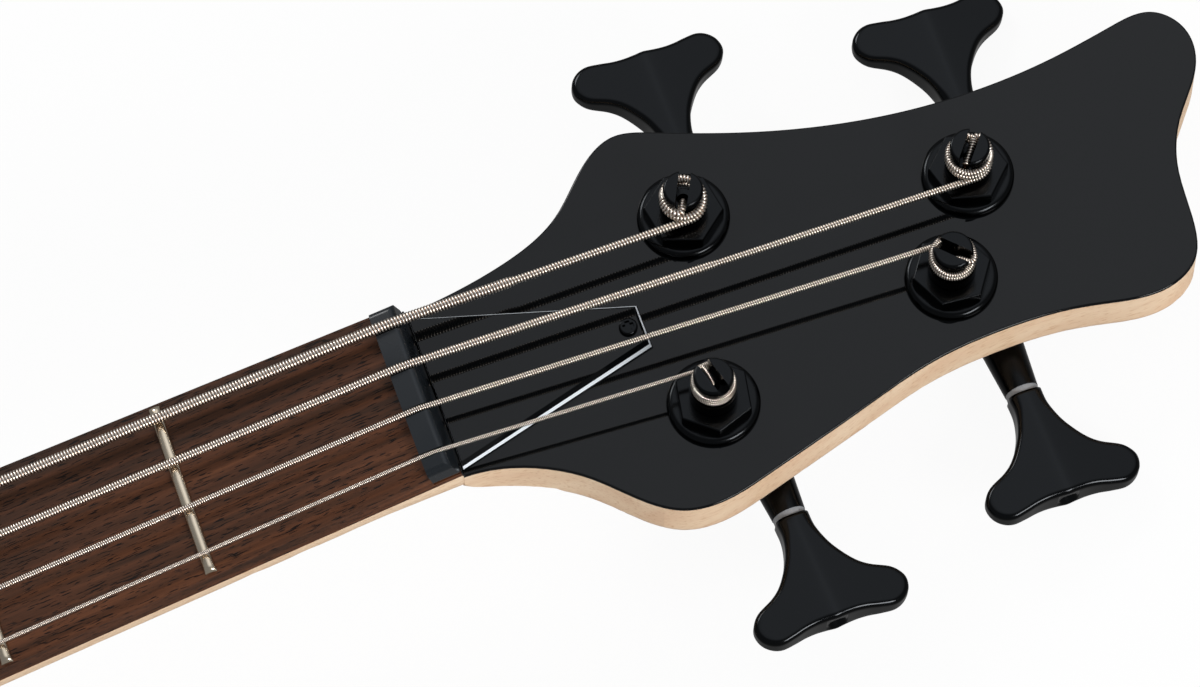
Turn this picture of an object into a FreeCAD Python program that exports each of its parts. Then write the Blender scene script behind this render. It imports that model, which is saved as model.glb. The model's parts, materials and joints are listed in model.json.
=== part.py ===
import FreeCAD
import Part
import math
import os

# Four-string electric bass guitar with a tilted headstock, in millimetres.
# The origin is on the body's back plane, on the centreline, under the end of the scale at the bridge.
# +X runs along the strings to the headstock, +Y to the lowest string's side, +Z out of the front.

# Strings, from the lowest to the highest
string_names = ("e", "a", "d", "g")
string_diameter = {"e": 2.41, "a": 1.90, "d": 1.40, "g": 1.02}
string_place_shares = {"e": 1.5, "a": 0.5, "d": -0.5, "g": -1.5}
scale_length = 863.6
nut_spacing = 9.87
bridge_spacing = 19.0
nut_lift = 1.5
bridge_lift = 5.3
nut_bend_radius = 16.0
saddle_bend_radius = 10.0

# Fits and cuts
overrun = 5.0
seat_gap = 0.1
turning_gap = 0.05
moving_gap = 0.3

# Fingerboard, frets and nut
fret_count = 24
board_thickness = 6.0
board_radius = 305.0
board_end_width = 62.0
board_overhang = 10.0
fret_width = 2.7
fret_height = 1.2
fret_inset = 0.6
tang_width = 0.6
tang_depth = 2.0
dot_radius = 3.0
dot_depth = 2.0
dot_pair_spread = 22.0
single_dot_frets = (3, 5, 7, 9, 15, 17, 19, 21)
double_dot_frets = (12, 24)
nut_width = 38.1
nut_top_length = 5.2
nut_base_length = 6.0
nut_rise = 2.1
nut_seat_depth = 4.5
nut_rounding = 1.4

# Neck and headstock
board_above_body = 15.0
shaft_depth_nut = 15.0
shaft_depth_heel = 17.0
heel_length = 80.0
heel_slope_length = 22.0
shaft_into_head = 14.0
shaft_flank = 0.8
shaft_flank_nut = 3.2
shaft_flare = 12.0
head_angle = 12.8
head_drop = 6.5
head_thickness = 13.0
head_length = 175.0
head_width = 85.0
head_back_rounding = 2.5
face_thickness = 0.6
face_rounding = 0.35
face_riser = 0.3
throat_length = 36.0
throat_middle_width = 60.0
throat_middle_depth = 16.3
throat_width = 130.0
throat_depth = 17.5
head_outline_shares = (
    (0.126, 0.271), (0.207, 0.348), (0.261, 0.458), (0.306, 0.506), (0.354, 0.483), (0.496, 0.385),
    (0.614, 0.338), (0.726, 0.326), (0.823, 0.342), (0.914, 0.378), (0.967, 0.381), (0.995, 0.318),
    (0.995, 0.229), (0.948, 0.087), (0.923, -0.029), (0.914, -0.186), (0.899, -0.275), (0.864, -0.321),
    (0.759, -0.306), (0.650, -0.296), (0.571, -0.314), (0.461, -0.380), (0.335, -0.460), (0.269, -0.491),
    (0.226, -0.480), (0.197, -0.445), (0.138, -0.329), (0.073, -0.251),
)

# Truss rod, its nut and its three-ply cover
rod_radius = 2.5
rod_depth = 13.0
rod_heel_gap = 25.0
rod_nut_radius = 3.5
rod_nut_length = 10.0
rod_nut_start = 2.0
rod_key_across = 3.0
rod_key_depth = 4.0
rod_pocket_length = 30.0
rod_pocket_wall = 0.8
cover_start = 0.4
cover_length = 45.2
cover_wide_width = 35.8
cover_narrow_width = 10.1
cover_ply_heights = (0.4, 1.1, 2.3)
cover_bevel_share = 0.55
cover_screw_from_end = 3.6
cover_screw_head_radius = 1.95
cover_screw_head_height = 0.9
cover_screw_radius = 1.1
cover_screw_length = 9.0
screw_slot_share = 0.26
screw_slot_depth_share = 0.6

# Tuners, placed on the headstock face by their string posts
post_along = {"e": 61.2, "a": 119.7, "d": 108.4, "g": 53.1}
post_across = {"e": 20.5, "a": 9.8, "d": -10.8, "g": -20.8}
tuner_side = {"e": 1, "a": 1, "d": -1, "g": -1}
tuner_lean = {"e": -1.0, "a": 0.0, "d": 1.5, "g": 3.0}
slot_turn = {"e": 64.0, "a": 52.0, "d": -46.0, "g": -74.0}
hex_turn = {"e": -20.0, "a": -15.0, "d": -4.0, "g": 20.0}
winding_quarters = {"e": 5, "a": 6, "d": 6, "g": 7}
winding_height = {"e": 7.4, "a": 7.2, "d": 8.6, "g": 9.2}
winding_outer_radius = {"e": 5.1, "a": 5.05, "d": 4.9, "g": 4.7}
winding_spacing = 0.45
washer_radius = 9.65
washer_thickness = 1.8
washer_rounding = 1.3
hex_across = 14.4
hex_height = 2.8
hex_rounding = 0.35
bushing_radius = 6.5
post_radius = 4.0
collar_radius = 4.9
post_head_radius = 4.15
post_head_height = 1.8
post_head_rounding = 0.6
post_rise = 9.8
post_slot_width = 2.5
post_slot_depth = 5.4
post_hole_radius = 1.3
wheel_teeth = 20
wheel_radius = 5.3
wheel_root_radius = 4.5
wheel_height = 5.6
worm_offset = 7.9
worm_drop = 7.0
worm_radius = 2.3
worm_root_radius = 1.7
worm_pitch = 1.57
worm_length = 10.5
shaft_radius = 2.0
housing_wall = 1.5
housing_depth = 11.0
housing_length = 22.0
housing_width = 17.0
housing_ahead = 13.0
housing_outward = 7.5
housing_rounding = 3.0
housing_cover_thickness = 1.2
sleeve_end = 21.1
sleeve_step = 0.4
sleeve_neck_radius = 3.7
sleeve_root_radius = 4.8
sleeve_end_radius = 3.65
key_washer_radius = 3.55
key_washer_thickness = 1.4
key_width = 33.8
key_length = 25.3
key_turn = 3.5
key_hub_radius = 3.7
key_hub_length = 3.0
key_rib_thickness = 7.6
key_edge_thickness = 3.6
key_bore_share = 0.5
key_screw_radius = 1.2
key_screw_head_radius = 2.0
key_screw_head_height = 1.6
key_screw_recess = 2.2
key_outline_shares = (
    (0.107, 0.000), (0.107, 0.138), (0.133, 0.276), (0.178, 0.395), (0.247, 0.521), (0.320, 0.600),
    (0.432, 0.673), (0.485, 0.750), (0.500, 0.825), (0.481, 0.911), (0.432, 0.974), (0.367, 1.000),
    (0.281, 0.984), (0.207, 0.963), (0.133, 0.953), (0.059, 0.955), (0.000, 0.961),
)
tuner_screw_radius = 1.2
tuner_screw_length = 9.0
tuner_screw_inset = 3.4
tuner_screw_head_radius = 1.8
tuner_screw_head_height = 0.9

# Bridge
bridge_width = 84.0
bridge_plate_thickness = 4.0
bridge_front = 18.0
bridge_back = 48.0
bridge_wall_thickness = 5.0
bridge_wall_height = 18.0
bridge_rounding = 2.0
anchor_height = 13.2
anchor_radius = 1.8
ball_radius = 2.8
ball_length = 5.5
saddle_setback = {"e": 3.5, "a": 2.5, "d": 1.5, "g": 0.5}
saddle_width = 17.6
saddle_ahead = 6.0
saddle_behind = 13.0
saddle_crest_radius = 5.0
saddle_crest_share = 0.8
saddle_cheek_rise = 0.9
saddle_underside = 1.3
height_screw_radius = 1.5
height_screw_spread = 12.0
height_screw_sink = 1.5
intonation_radius = 1.5
intonation_height = 7.6
intonation_head_radius = 2.3
intonation_head_height = 1.8
bridge_screw_radius = 2.0
bridge_screw_head_radius = 3.6
bridge_screw_head_height = 1.8
bridge_screw_length = 24.0
bridge_screw_count = 5

# Body
body_thickness = 46.0
body_length = 485.0
body_width = 316.0
body_tail = 92.0
body_rounding = 6.0
rounding_bend_share = 0.9
bend_step_count = 2000
pocket_depth = 16.0
tail_share = (0.000, 0.000)
horn_share = (0.996, 0.405)
jack_share = (0.190, -0.500)
body_outline_shares = (
    tail_share, (0.012, 0.222), (0.070, 0.411), (0.190, 0.497), (0.318, 0.472), (0.437, 0.399),
    (0.544, 0.370), (0.654, 0.405), (0.777, 0.456), (0.891, 0.475), (0.969, 0.453), horn_share,
    (0.973, 0.354), (0.901, 0.310), (0.833, 0.241), (0.802, 0.158), (0.788, 0.101), (0.775, 0.000),
    (0.761, -0.101), (0.751, -0.165), (0.763, -0.241), (0.808, -0.310), (0.841, -0.354), (0.845, -0.405),
    (0.800, -0.453), (0.705, -0.462), (0.602, -0.437), (0.503, -0.402), (0.412, -0.402), (0.313, -0.459),
    jack_share, (0.076, -0.446), (0.014, -0.247),
)

# Neck plate and screws
plate_length = 58.0
plate_width = 48.0
plate_thickness = 3.0
plate_corner = 6.0
plate_gap_from_end = 8.0
plate_screw_inset = 8.0
neck_screw_radius = 2.2
neck_screw_head_radius = 4.2
neck_screw_head_height = 2.4
neck_screw_length = 44.0

# Pickups
pickup_length = 36.0
pickup_width = 100.0
pickup_corner = 6.0
pickup_wall = 2.5
pickup_above_body = 14.0
pickup_pocket_depth = 20.0
neck_pickup_gap = 7.0
bridge_pickup_gap = 38.0
coil_length = 12.0
coil_width = 76.0
coil_height = 22.0
magnet_length = 4.0
magnet_width = 64.0
pickup_screw_radius = 1.5
pickup_screw_head_radius = 2.8
pickup_screw_head_height = 1.6
pickup_screw_inset = 5.5
pickup_screw_grip = 9.0

# Controls
knob_along = {"volume": 52.0, "blend": 12.0, "tone": -28.0}
control_edge_gap = 58.0
knob_radius = 9.5
knob_height = 16.0
knob_lift = 1.0
knob_rounding = 1.0
knob_pointer_width = 1.2
knob_pointer_depth = 0.6
knob_recess_radius = 8.0
knob_recess_depth = 5.5
pot_radius = 12.0
pot_height = 11.0
pot_bushing_radius = 4.7
pot_bushing_rise = 4.5
pot_shaft_radius = 3.0
pot_shaft_in_pot = 6.0
pot_nut_across = 12.0
pot_nut_height = 2.3
cavity_top_wall = 4.0
cavity_margin = 20.0
cavity_half_width = 19.0
cavity_corner = 9.0
control_cover_thickness = 2.5
control_cover_lip = 6.0
small_screw_radius = 1.3
small_screw_head_radius = 2.5
small_screw_head_height = 1.4
small_screw_length = 12.0
wire_radius = 0.8
capacitor_radius = 4.0
capacitor_length = 14.0

# Output jack and strap buttons
jack_bore_radius = 3.2
jack_radius = 6.0
jack_length = 42.0
jack_bore_length = 32.0
jack_plate_radius = 12.5
jack_plate_thickness = 3.0
jack_plate_sink = 2.0
button_radius = 8.0
button_waist_radius = 5.0
button_length = 12.0
button_lip = 2.5
button_seat_sink = 1.5
button_screw_radius = 2.0
button_screw_head_radius = 3.4
button_screw_head_height = 2.0
button_screw_length = 30.0

# Places worked out from the sizes above
board_top = body_thickness + board_above_body
board_bottom = board_top - board_thickness
board_end = scale_length / 2 ** (fret_count / 12) - board_overhang
nut_back = scale_length + nut_base_length
face_height = board_top - head_drop
plate_top = body_thickness + bridge_plate_thickness
knob_across = control_edge_gap - body_width / 2
hex_top = washer_thickness + hex_height
post_top = hex_top + post_rise
waist_top = post_top - post_head_height
worm_height = -head_thickness - worm_drop
hub_start = sleeve_end + key_washer_thickness
X_AXIS = FreeCAD.Vector(1, 0, 0)
Y_AXIS = FreeCAD.Vector(0, 1, 0)
Z_AXIS = FreeCAD.Vector(0, 0, 1)
ORIGIN = FreeCAD.Vector(0, 0, 0)
on_head = FreeCAD.Placement(
    FreeCAD.Vector(nut_back, 0, face_height), FreeCAD.Rotation(Y_AXIS, head_angle))


# General shapes

def vec(x, y, z):
    return FreeCAD.Vector(x, y, z)


def block(x0, x1, y0, y1, z0, z1):
    return Part.makeBox(x1 - x0, y1 - y0, z1 - z0, vec(x0, y0, z0))


def rod(radius, start, end):
    return Part.makeCylinder(radius, (end - start).Length, start, end - start)


def cone(start_radius, end_radius, start, end):
    return Part.makeCone(start_radius, end_radius, (end - start).Length, start, end - start)


def prism(points, along):
    return Part.Face(Part.makePolygon(list(points) + [points[0]])).extrude(along)


def joined(shapes):
    whole = shapes[0].multiFuse(shapes[1:]) if len(shapes) > 1 else shapes[0]
    return whole.removeSplitter()


def placed(shape, place):
    moved = shape.copy()
    moved.Placement = place.multiply(moved.Placement)
    return moved


def rounded_slab(x0, x1, y0, y1, z0, z1, corner):
    slab = block(x0, x1, y0, y1, z0, z1)
    upright = [edge for edge in slab.Edges if abs(edge.tangentAt(edge.FirstParameter).z) > 0.5]
    return slab.makeFillet(corner, upright)


def hexagon(across, z0, z1):
    corner = across / math.sqrt(3)
    points = [vec(corner * math.cos(math.radians(60 * k)), corner * math.sin(math.radians(60 * k)), z0)
              for k in range(6)]
    return prism(points, vec(0, 0, z1 - z0))


def edges_at_height(shape, height):
    return [edge for edge in shape.Edges
            if abs(edge.BoundBox.ZMin - height) + abs(edge.BoundBox.ZMax - height) < turning_gap]


def countersunk_screw(radius, head_radius, head_height, length):
    """A screw along +Z, with the flat of its head at zero, a shank upwards and a cross recess."""
    shank = Part.makeCylinder(radius, length)
    head = Part.makeCone(head_radius, radius, head_height)
    screw = joined([shank, head])
    return screw.cut(cross_recess(head_radius, head_height))


def cross_recess(head_radius, head_height):
    width = head_radius * screw_slot_share
    depth = head_height * screw_slot_depth_share
    reach = head_radius * screw_slot_depth_share
    arms = [block(-reach, reach, -width, width, -overrun, depth),
            block(-width, width, -reach, reach, -overrun, depth)]
    return joined(arms)


def turned_to(shape, position, axis):
    return placed(shape, FreeCAD.Placement(position, FreeCAD.Rotation(Z_AXIS, axis)))


# The lines that the strings, the board and the neck share

def board_half_width(x):
    along = (scale_length - x) / (scale_length - board_end)
    return (nut_width + along * (board_end_width - nut_width)) / 2


def crown_drop(y):
    return board_radius - math.sqrt(board_radius ** 2 - y ** 2)


def fret_x(number):
    return scale_length / 2 ** (number / 12)


def crown_cylinder(rise):
    return rod(board_radius + rise, vec(-body_tail, 0, board_top - board_radius),
               vec(nut_back + head_length, 0, board_top - board_radius))


def taper(x0, x1, z0, z1, side_gap):
    """A block that follows the board's taper in plan."""
    w0 = board_half_width(x0) + side_gap
    w1 = board_half_width(x1) + side_gap
    points = [vec(x0, -w0, z0), vec(x1, -w1, z0), vec(x1, w1, z0), vec(x0, w0, z0)]
    return prism(points, vec(0, 0, z1 - z0))


def string_point(name, x):
    """The middle of a string over the board, x being zero at the bridge and scale_length at the nut."""
    along = x / scale_length
    spacing = bridge_spacing + along * (nut_spacing - bridge_spacing)
    lift = bridge_lift + along * (nut_lift - bridge_lift)
    y = string_place_shares[name] * spacing
    return vec(x, y, board_top - crown_drop(y) + lift + string_diameter[name] / 2)


def bend(before, corner, after, radius):
    """The start, middle and end of the arc that rounds a corner between two straight runs."""
    inward = (corner - before).normalize()
    outward = (after - corner).normalize()
    reach = radius * math.tan(inward.getAngle(outward) / 2)
    return arc_points(corner - inward * reach, corner, corner + outward * reach)


def arc_points(start, corner, end):
    weight = (end - start).Length / (2 * (corner - start).Length)
    middle = (start + corner * (2 * weight) + end) * (1 / (2 * (1 + weight)))
    return start, middle, end


def biarc(start, start_way, end, end_way):
    """Two tangent arcs between two points with given directions."""
    span = end - start
    ways = start_way + end_way
    bending = 2 * (1 - start_way.dot(end_way))
    slope = span.dot(ways)
    reach = (math.sqrt(slope ** 2 + bending * span.dot(span)) - slope) / bending
    first_corner = start + start_way * reach
    last_corner = end - end_way * reach
    meeting = (first_corner + last_corner) * (1 / 2)
    return [Part.Arc(*arc_points(start, first_corner, meeting)).toShape(),
            Part.Arc(*arc_points(meeting, last_corner, end)).toShape()]


def winding_radius(name):
    return winding_outer_radius[name] - string_diameter[name] / 2


def waist_radius(name):
    return winding_outer_radius[name] - string_diameter[name] - moving_gap


def collar_top(name):
    return winding_height[name] - string_diameter[name] / 2 - moving_gap


def winding_points(name, nut_point):
    """Points and directions of the turns on a post, a quarter turn apart, climbing from the collar."""
    side = tuner_side[name]
    radius = winding_radius(name)
    pitch = string_diameter[name] + winding_spacing
    start = on_head.inverse().multVec(nut_point)
    to_post = vec(post_along[name] - start.x, post_across[name] - start.y, 0)
    heading = math.atan2(to_post.y, to_post.x) - side * math.asin(radius / to_post.Length)
    points = []
    for quarter in range(winding_quarters[name] + 1):
        angle = heading + side * (quarter - 1) * math.pi / 2
        point = vec(post_along[name] + radius * math.cos(angle), post_across[name] + radius * math.sin(angle),
                    winding_height[name] + pitch * quarter / 4)
        way = vec(-side * math.sin(angle), side * math.cos(angle), pitch / (2 * math.pi * radius)).normalize()
        points.append((on_head.multVec(point), on_head.Rotation.multVec(way)))
    return points


def anchor_point(name):
    y = string_place_shares[name] * bridge_spacing
    return vec(-bridge_back, y, body_thickness + anchor_height)


def saddle_point(name):
    return string_point(name, -saddle_setback[name])


def string_edges(name):
    """A string's route: ball end, over the saddle, over the nut, and round its post."""
    anchor = anchor_point(name)
    saddle = saddle_point(name)
    nut = string_point(name, scale_length + nut_top_length / 2)
    turns = winding_points(name, nut)
    over_saddle = bend(anchor, saddle, nut, saddle_bend_radius)
    over_nut = bend(saddle, nut, turns[0][0], nut_bend_radius)
    straight = [Part.LineSegment(anchor, over_saddle[0]).toShape(), Part.Arc(*over_saddle).toShape(),
                Part.LineSegment(over_saddle[2], over_nut[0]).toShape(), Part.Arc(*over_nut).toShape(),
                Part.LineSegment(over_nut[2], turns[0][0]).toShape()]
    arriving = (turns[0][0] - over_nut[2]).normalize()
    turns[0] = (turns[0][0], arriving)
    wound = []
    for (start, start_way), (end, end_way) in zip(turns, turns[1:]):
        wound += biarc(start, start_way, end, end_way)
    return straight, wound


def tube(edges, radius):
    start = edges[0].valueAt(edges[0].FirstParameter)
    way = edges[0].tangentAt(edges[0].FirstParameter)
    ring = Part.Wire(Part.makeCircle(radius, start, way))
    return Part.Wire(edges).makePipeShell([ring], True, False)


def least_gap(edges, diameter, half_turn):
    """The least gap between a wound tube's turns, measured on points along it."""
    step = diameter / 4
    points = []
    for edge in edges:
        points += edge.discretize(Distance=step)[:-1]
    apart = int(half_turn / step)
    gaps = [(first - second).Length for place, first in enumerate(points)
            for second in points[place + apart:]]
    return min(gaps) - diameter


# Neck, board and nut

def fingerboard():
    board = taper(board_end, nut_back, board_bottom, board_top + overrun, 0).common(crown_cylinder(0))
    board = board.cut(block(scale_length, nut_back + overrun, -nut_width, nut_width,
                            board_top - nut_seat_depth, board_top + overrun))
    slots = [fret_ring(number, True) for number in range(1, fret_count + 1)]
    holes = [dot_hole(x, y) for x, y in dot_places()]
    return board.cut(Part.makeCompound(slots)).cut(Part.makeCompound(holes))


def fret_ring(number, slot):
    """One fret, or the slot for its tang, as a section turned about the board's centre of crown."""
    x = fret_x(number)
    half = board_half_width(x) - fret_inset
    sweep = math.degrees(math.asin(half / board_radius))
    side = fret_width / 2
    tang = tang_width / 2
    foot = board_radius - tang_depth
    if slot:
        section = Part.makePolygon([vec(x - tang, 0, foot), vec(x + tang, 0, foot),
                                    vec(x + tang, 0, board_radius + overrun),
                                    vec(x - tang, 0, board_radius + overrun), vec(x - tang, 0, foot)])
    else:
        crown = Part.Arc(vec(x - side, 0, board_radius), vec(x, 0, board_radius + fret_height),
                         vec(x + side, 0, board_radius)).toShape()
        rest = Part.makePolygon([vec(x + side, 0, board_radius), vec(x + tang, 0, board_radius),
                                 vec(x + tang, 0, foot), vec(x - tang, 0, foot),
                                 vec(x - tang, 0, board_radius), vec(x - side, 0, board_radius)])
        section = Part.Wire([crown] + rest.Edges)
    face = Part.Face(Part.Wire(section.Edges))
    face.rotate(ORIGIN, X_AXIS, -sweep)
    ring = face.revolve(ORIGIN, X_AXIS, 2 * sweep)
    ring.translate(vec(0, 0, board_top - board_radius))
    return ring


def frets():
    return Part.makeCompound([fret_ring(number, False) for number in range(1, fret_count + 1)])


def dot_places():
    """Dots lie halfway between the frets, single ones on the centreline and pairs beside it."""
    middle = {number: (fret_x(number) + fret_x(number - 1)) / 2 for number in range(1, fret_count + 1)}
    single = [(middle[number], 0) for number in single_dot_frets]
    pairs = [(middle[number], side * dot_pair_spread / 2) for number in double_dot_frets for side in (1, -1)]
    return single + pairs


def dot_hole(x, y):
    return rod(dot_radius, vec(x, y, board_top - dot_depth), vec(x, y, board_top + overrun))


def position_dots():
    dots = [dot_hole(x, y).common(crown_cylinder(0)) for x, y in dot_places()]
    return Part.makeCompound(dots)


def nut():
    bottom = board_top - nut_seat_depth
    top = board_top + nut_rise + overrun
    lean = (nut_base_length - nut_top_length) / (nut_rise + nut_seat_depth)
    profile = [vec(scale_length, 0, bottom), vec(nut_back, 0, bottom),
               vec(nut_back - lean * (top - bottom), 0, top), vec(scale_length, 0, top)]
    wedge = prism(profile, vec(0, nut_width, 0))
    wedge.translate(vec(0, -nut_width / 2, 0))
    solid = wedge.common(crown_cylinder(nut_rise))
    ends = [edge for edge in solid.Edges if edge.BoundBox.YLength < nut_width / 2
            and edge.BoundBox.ZLength < nut_rounding]
    solid = solid.makeFillet(nut_rounding, ends)
    for name in string_names:
        solid = solid.cut(nut_slot(name))
    return solid


def nut_slot(name):
    """The slot that a string lies in, open at the top, with a floor that follows the string's bend."""
    straight, wound = string_edges(name)
    half = string_diameter[name] / 2 + seat_gap
    over = straight[3].discretize(Number=5)
    falling = straight[4].tangentAt(straight[4].FirstParameter)
    floor = [over[0] - X_AXIS * nut_base_length] + over + [over[-1] + falling * nut_base_length]
    roof = [floor[-1] + Z_AXIS * nut_base_length, floor[0] + Z_AXIS * nut_base_length]
    outline = [point - Z_AXIS * half for point in floor] + roof
    flat = [vec(point.x, over[2].y - half, point.z) for point in outline]
    return prism(flat, vec(0, 2 * half, 0))


def shaft_round(middle, half_width, depth, flank):
    """A section across Y that hangs from a flat lid: upright flanks, closed below by half an ellipse."""
    low = middle - Z_AXIS * flank
    across = Y_AXIS * half_width
    ellipse = Part.Ellipse(low + across, middle - Z_AXIS * depth, low)
    arc = Part.ArcOfEllipse(ellipse, 0, math.pi)
    lines = [Part.LineSegment(low - across, middle - across),
             Part.LineSegment(middle - across, middle + across),
             Part.LineSegment(middle + across, low + across)]
    return Part.Wire([arc.toShape()] + [line.toShape() for line in lines])


def shaft_section(x, depth, flank):
    return shaft_round(vec(x, 0, board_bottom), board_half_width(x), depth, flank)


def head_outline(height):
    half = nut_width / 2
    points = [vec(0, half, height)]
    points += [vec(x * head_length, y * head_width, height) for x, y in head_outline_shares]
    points += [vec(0, -half, height)]
    curve = Part.BSplineCurve()
    curve.interpolate(points)
    return Part.Wire([curve.toShape(), Part.LineSegment(points[-1], points[0]).toShape()])


def head_slab(bottom, top):
    return Part.Face(head_outline(bottom)).extrude(vec(0, 0, top - bottom))


def curved_edges_at(shape, height):
    return [edge for edge in edges_at_height(shape, height) if edge.BoundBox.XLength > head_length / 2]


def head_holes():
    """What passes through the headstock: four bushings and the cover's screw."""
    holes = [Part.makeCylinder(bushing_radius + seat_gap, 2 * head_thickness,
                               vec(post_along[name], post_across[name], -3 * head_thickness / 2))
             for name in string_names]
    screw = rod(cover_screw_radius, cover_screw_place(-cover_screw_length), cover_screw_place(overrun))
    bushings = placed(Part.makeCompound(holes + [screw]), on_head)
    top = tuner_screw_length - housing_wall - head_thickness
    screws = four_tuners(rod(tuner_screw_radius, tuner_screw_point(-2 * head_thickness),
                             tuner_screw_point(top)))
    return Part.makeCompound(bushings.Solids + screws.Solids)


def rod_pocket():
    reach = rod_nut_radius + rod_pocket_wall
    return block(nut_back, nut_back + rod_pocket_length, -reach, reach, board_top - rod_depth - reach,
                 board_top + overrun)


def rod_channel():
    start = vec(board_end + rod_heel_gap, 0, board_top - rod_depth)
    groove = rod(rod_radius + seat_gap, start, vec(nut_back + overrun, 0, board_top - rod_depth))
    slot = block(start.x, nut_back + overrun, -rod_radius - seat_gap, rod_radius + seat_gap,
                 board_top - rod_depth, board_bottom + overrun)
    return joined([groove, slot])


def throated(slab):
    """The headstock slab, whose sides grow out of the shaft's round section behind the nut."""
    near = shaft_round(ORIGIN, nut_width / 2, shaft_depth_nut, shaft_flank_nut)
    middle = shaft_round(vec(throat_length / 2, 0, 0), throat_middle_width / 2, throat_middle_depth,
                         shaft_flank)
    far = shaft_round(vec(throat_length, 0, 0), throat_width / 2, throat_depth, shaft_flank)
    throat = Part.makeLoft([near, middle, far], True, True)
    beyond = block(throat_length, 2 * head_length, -head_width, head_width,
                   -2 * head_thickness, head_thickness)
    return joined([slab.common(throat), slab.common(beyond)])


def neck():
    shaft_end = nut_back + shaft_into_head
    shaft = Part.makeLoft([shaft_section(board_end, shaft_depth_heel, shaft_flank),
                           shaft_section(scale_length - shaft_flare, shaft_depth_nut, shaft_flank),
                           shaft_section(nut_back, shaft_depth_nut, shaft_flank_nut),
                           shaft_section(shaft_end, shaft_depth_nut, shaft_flank_nut)], True, True)
    above_head = block(0, head_length, -head_width, head_width, -face_thickness, head_thickness)
    behind_nut = block(nut_back, shaft_end, -head_width, head_width, face_height, board_top)
    shaft = shaft.cut(placed(above_head, on_head)).cut(behind_nut)
    slab = head_slab(-head_thickness, -face_thickness)
    slab = slab.makeFillet(head_back_rounding, curved_edges_at(slab, -head_thickness))
    slab = placed(throated(slab), on_head)
    heel_bottom = body_thickness - pocket_depth
    slope_end = board_end + heel_length + heel_slope_length
    profile = [vec(board_end, 0, heel_bottom), vec(board_end + heel_length, 0, heel_bottom),
               vec(slope_end, 0, board_bottom - shaft_depth_heel / 2), vec(slope_end, 0, board_bottom),
               vec(board_end, 0, board_bottom)]
    heel = prism(profile, vec(0, board_end_width, 0))
    heel.translate(vec(0, -board_end_width / 2, 0))
    heel = heel.common(taper(board_end, slope_end, heel_bottom, board_bottom, 0))
    solid = joined([shaft, heel, slab])
    for cut in [rod_channel(), rod_pocket(), head_holes()] + [neck_screw_hole(place)
                                                              for place in plate_screw_places()]:
        solid = solid.cut(cut)
    return solid


def headstock_face():
    """The black face, with a thin riser that covers the end of the board behind the nut."""
    slab = head_slab(-face_thickness, 0)
    slab = slab.makeFillet(face_rounding, curved_edges_at(slab, 0))
    slab = placed(slab, on_head).cut(head_holes()).cut(rod_pocket())
    riser = block(nut_back, nut_back + face_riser, -nut_width / 2, nut_width / 2,
                  face_height - face_thickness / 2, board_top - nut_seat_depth)
    return joined([slab, riser])


# Truss rod and its cover

def truss_rod():
    start = vec(board_end + rod_heel_gap, 0, board_top - rod_depth)
    end = vec(nut_back + rod_nut_start + rod_nut_length / 2, 0, board_top - rod_depth)
    return rod(rod_radius, start, end)


def truss_rod_nut():
    start = vec(nut_back + rod_nut_start, 0, board_top - rod_depth)
    end = start + X_AXIS * rod_nut_length
    barrel = rod(rod_nut_radius, start, end)
    thread = rod(rod_radius + turning_gap, start, start + X_AXIS * (rod_nut_length / 2 + moving_gap))
    socket = turned_to(hexagon(rod_key_across, 0, rod_key_depth), end, X_AXIS * -1)
    return barrel.cut(thread).cut(socket)


def cover_outline(height):
    inset = height * cover_bevel_share
    far = cover_start + cover_length - inset
    wide = cover_wide_width / 2 - inset
    narrow = cover_narrow_width / 2 - inset
    near = cover_start
    points = [vec(near, wide, height), vec(far, narrow, height), vec(far, -narrow, height),
              vec(near, -wide, height)]
    return Part.makePolygon(points + [points[0]])


def cover_ply(bottom, top):
    ply = Part.makeLoft([cover_outline(bottom), cover_outline(top)], True, True)
    hole = rod(cover_screw_radius, cover_screw_place(-cover_screw_length), cover_screw_place(overrun))
    return placed(ply.cut(hole), on_head)


def cover_screw_place(height):
    return vec(cover_start + cover_length - cover_screw_from_end, 0, height)


def truss_cover_black_plies():
    low, middle, top = cover_ply_heights
    return Part.makeCompound([cover_ply(0, low), cover_ply(middle, top)])


def truss_cover_white_ply():
    low, middle, top = cover_ply_heights
    return cover_ply(low, middle)


def truss_cover_screw():
    top = cover_ply_heights[-1]
    head = Part.makeCylinder(cover_screw_head_radius, cover_screw_head_height, cover_screw_place(top))
    rim = edges_at_height(head, top + cover_screw_head_height)
    head = head.makeFillet(cover_screw_head_height / 2, rim)
    shank = rod(cover_screw_radius, cover_screw_place(top - cover_screw_length), cover_screw_place(top))
    recess = turned_to(cross_recess(cover_screw_head_radius, cover_screw_head_height),
                       cover_screw_place(top + cover_screw_head_height), Z_AXIS * -1)
    return placed(joined([head, shank]).cut(recess), on_head)


# Tuners: each is drawn about its post, outward along +Y, and then set on its side of the headstock

def on_tuner(shape, name):
    leaned = shape.copy()
    leaned.rotate(ORIGIN, Z_AXIS, -tuner_lean[name])
    if tuner_side[name] < 0:
        leaned = leaned.mirror(ORIGIN, Y_AXIS)
    leaned.translate(vec(post_along[name], post_across[name], 0))
    return placed(leaned, on_head)


def four_tuners(shape):
    return Part.makeCompound([on_tuner(shape, name) for name in string_names])


def on_post(shape, name, turn):
    turned = shape.copy()
    turned.rotate(ORIGIN, Z_AXIS, turn)
    turned.translate(vec(post_along[name], post_across[name], 0))
    return placed(turned, on_head)


def tuner_washers():
    ring = Part.makeCylinder(washer_radius, washer_thickness)
    ring = ring.makeFillet(washer_rounding, edges_at_height(ring, washer_thickness))
    return four_tuners(ring.cut(Part.makeCylinder(bushing_radius + seat_gap, washer_thickness)))


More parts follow.
